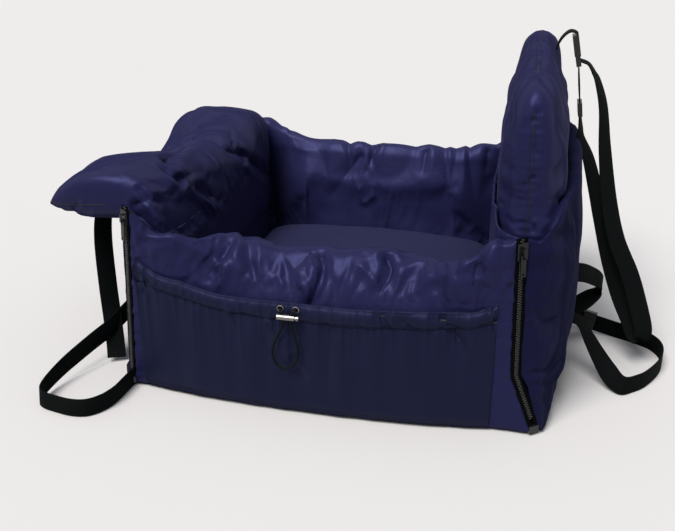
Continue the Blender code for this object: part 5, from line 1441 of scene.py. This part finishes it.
def dress_panels():
    """The slack cloth's own creases, before the photographed folds go in."""
    def roll(places):
        """1 on a wall's upper roll, fading below it and beside the zips."""
        return ease((places[:, 2] - 0.13) / 0.05) * ease((HALF_LENGTH - 0.012 - np.abs(places[:, 0])) / 0.02)

    for wall, seed in ((front_wall, 51), (rear_wall, 52)):
        creases(wall, ((0.066, (1, 0.1, 0.35)), (0.104, (1, 0.2, -0.8))), 0.0064, seed, roll)
    creases(right_sleeve, ((0.095, (0.2, 1, 0.3)), (0.120, (0.3, 0.6, -0.8))), 0.0026, 53,
            lambda places: ease((places[:, 2] - 0.02) / 0.05))
    creases(backrest, ((0.110, (0.5, 1, 0.4)), (0.140, (0.3, -0.5, 1))), 0.0024, 54,
            lambda places: ease((places[:, 2] - 0.26) / 0.05))
    creases(left_pillow, ((0.110, (0.8, 0.4, 0.2)), (0.130, (0.5, -1, 0.3))), 0.0022, 55,
            lambda places: ease((places[:, 2] - 0.12) / 0.04))


def seam_shade_cord(name, piece, path, way):
    """The dark line of a closing seam: a thin near-black cord, painted shade of the seam's groove, laid half
    into a piece along a path.
    """
    line = on_surface(piece, resample(np.asarray(path, float), 160), way)
    sides = np.tile(np.cross(unit(line[-1] - line[0]), way), (len(line), 1))
    return sweep(name, line, sides, circle_outline(SEAM_SHADE_RADIUS, 8), SEAM_SHADE)


def make_seam_shades():
    """Painted shade along the backrest's crest and side seams, and along the left pillow's near seam:
    near-black cords laid in them.
    """
    crest = [(0.2350, y, 0.420) for y in np.linspace(-0.160, 0.160, 9)]
    runs = [("backrest_crest_seam_shade", crest, (0, 0, -1))]
    for label, end in (("near", FRONT), ("far", REAR)):
        side = [(mix(0.2390, 0.2350, ease((z - 0.30) / 0.1)), end * PILLOW_HALF_WIDTH, z)
                for z in np.linspace(0.215, 0.385, 9)]
        runs.append((f"backrest_{label}_seam", side, (0, -end, 0)))
    for name, path, way in runs:
        seam_shade = seam_shade_cord(name, backrest, path, way)
        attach(seam_shade, "backrest")
    tip = [(-0.3500, 0, 0.2385), (-0.3270, 0, 0.2370), (-0.3000, 0, 0.2395), (-0.2700, 0, 0.2420)]
    line = [(x, -PILLOW_HALF_WIDTH, z) for x, y, z in tip]
    seam_shade = seam_shade_cord("left_pillow_seam_shade", left_pillow, line, (0, 1, 0))
    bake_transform(seam_shade)


def dress_seams():
    """The sewn lines of walls, sleeves and pillows, each sunk a little and gathered beside it."""
    heights = np.linspace(FOOT_Z, CORNER_HEIGHT - 0.004, 60)
    for wall, end in ((front_wall, FRONT), (rear_wall, REAR)):
        for side in (LEFT, RIGHT):
            edge = zip_line(side, end, heights)
            pucker(wall, edge, 0.0016, (0.012, 0.019, 0.031), 0.020, 11 + side + end)
    for sleeve, side in ((left_sleeve, LEFT), (right_sleeve, RIGHT)):
        for end in (FRONT, REAR):
            edge = zip_line(side, end, heights)
            pucker(sleeve, edge, 0.0009, (0.013, 0.021, 0.034), 0.018, 21 + side + end)
    crest = np.array([(0.2350, y, 0.420) for y in np.linspace(-0.165, 0.165, 40)])
    pucker(backrest, crest, 0.0044, (0.024, 0.034, 0.052), 0.030, 31)
    press(backrest, crest, 0.0030, 0.0030, (1, 1))
    for end in (FRONT, REAR):
        side_seam = np.array([(0.2395, end * PILLOW_HALF_WIDTH, z) for z in np.linspace(0.230, 0.385, 40)])
        pucker(backrest, side_seam, 0.0012, (0.010, 0.017, 0.029), 0.012, 33 + end)
        press(backrest, side_seam, 0.0028, 0.0026, (1, 1))


# The frame's own solids that stay, each in its finish
KEPT = {
    "base_panel": NAVY_DULL_AND_SHADED, "base_board": BOARD,
    "pocket_eyelet_left": GUNMETAL, "pocket_eyelet_right": GUNMETAL,
    "cord_lock_body": GUNMETAL, "cord_lock_button": GUNMETAL,
    "hem_cord_left": BRAID_ROUND, "hem_cord_right": BRAID_ROUND, "headrest_buckle_socket": PLASTIC,
    "headrest_buckle_clip": PLASTIC, "headrest_adjuster": PLASTIC, "right_base_adjuster": PLASTIC,
}


def finish_kept():
    """Gives the frame's own remaining solids their finishes."""
    for end in ("front", "rear"):
        for side in ("left", "right"):
            KEPT.update({f"zip_{end}_{side}_{part}": BLACK_METAL for part in ("slider", "pull")})
            KEPT[f"zip_{end}_{side}_box"] = TOOTH
    for name, finish in KEPT.items():
        for slot in bpy.data.objects[name].material_slots:
            slot.material = finish


def harden(piece):
    """Applies one smooth subdivision, so that folds can be pressed into a finer mesh."""
    refine(piece)
    graph = bpy.context.evaluated_depsgraph_get()
    fine = bpy.data.meshes.new_from_object(piece.evaluated_get(graph))
    piece.modifiers.clear()
    piece.data = fine


front_wall = wall_skin("front_wall_skin", FRONT, FRONT_RIDGE_X, FRONT_RIDGE_Z, NAVY)
rear_wall = wall_skin("rear_wall_skin", REAR, REAR_RIDGE_X, REAR_RIDGE_Z, NAVY_REAR_LIT)
left_sleeve = sleeve_skin("left_sleeve_skin", LEFT, LEFT_MOUTH_Z, LEFT_PLAN_POWERS, 1.0, 0.0020, NAVY)
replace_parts(left_sleeve, "left_sleeve_outer")
right_sleeve = sleeve_skin("right_sleeve_skin", RIGHT, RIGHT_MOUTH_Z, RIGHT_PLAN_POWERS, 1.5, 0.0035,
                           NAVY_SIDE_SHADED)
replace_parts(right_sleeve, "right_sleeve_outer")
backrest = make_backrest()
left_pillow = make_left_pillow()
cushion = make_cushion()
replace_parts(cabin_panel("left_cabin_panel", LEFT, LEFT_CABIN_Z), "left_sleeve_inner")
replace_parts(cabin_panel("right_cabin_panel", RIGHT, RIGHT_CABIN_Z), "right_sleeve_inner")
pocket = make_pocket()
make_straps()
finish_kept()
settle()
for skin, cap in STUFFED:
    harden(skin)
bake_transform(left_pillow)
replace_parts(left_pillow, "folding_flap", "left_pillow_foot")
dress_panels()
dress_seams()
photo_folds(front_wall, FRONT_WALL_FOLDS)
photo_folds(rear_wall, REAR_WALL_FOLDS)
photo_folds(left_pillow, LEFT_PILLOW_FOLDS)
photo_folds(right_sleeve, SLEEVE_FOLDS)
photo_folds(backrest, BACKREST_FOLDS)
photo_folds(pocket, POCKET_FOLDS)
press(pocket, on_surface(pocket, hem_seam_path(), (0, 1, 0)), 0.0014, 0.0016, (1, 1), facing=(0, -1, 0))
make_stitches("pocket_hem_stitches", pocket, hem_seam_path(), (0, 1, 0))
make_seam_shades()
thicken(pocket, CLOTH_THICK)
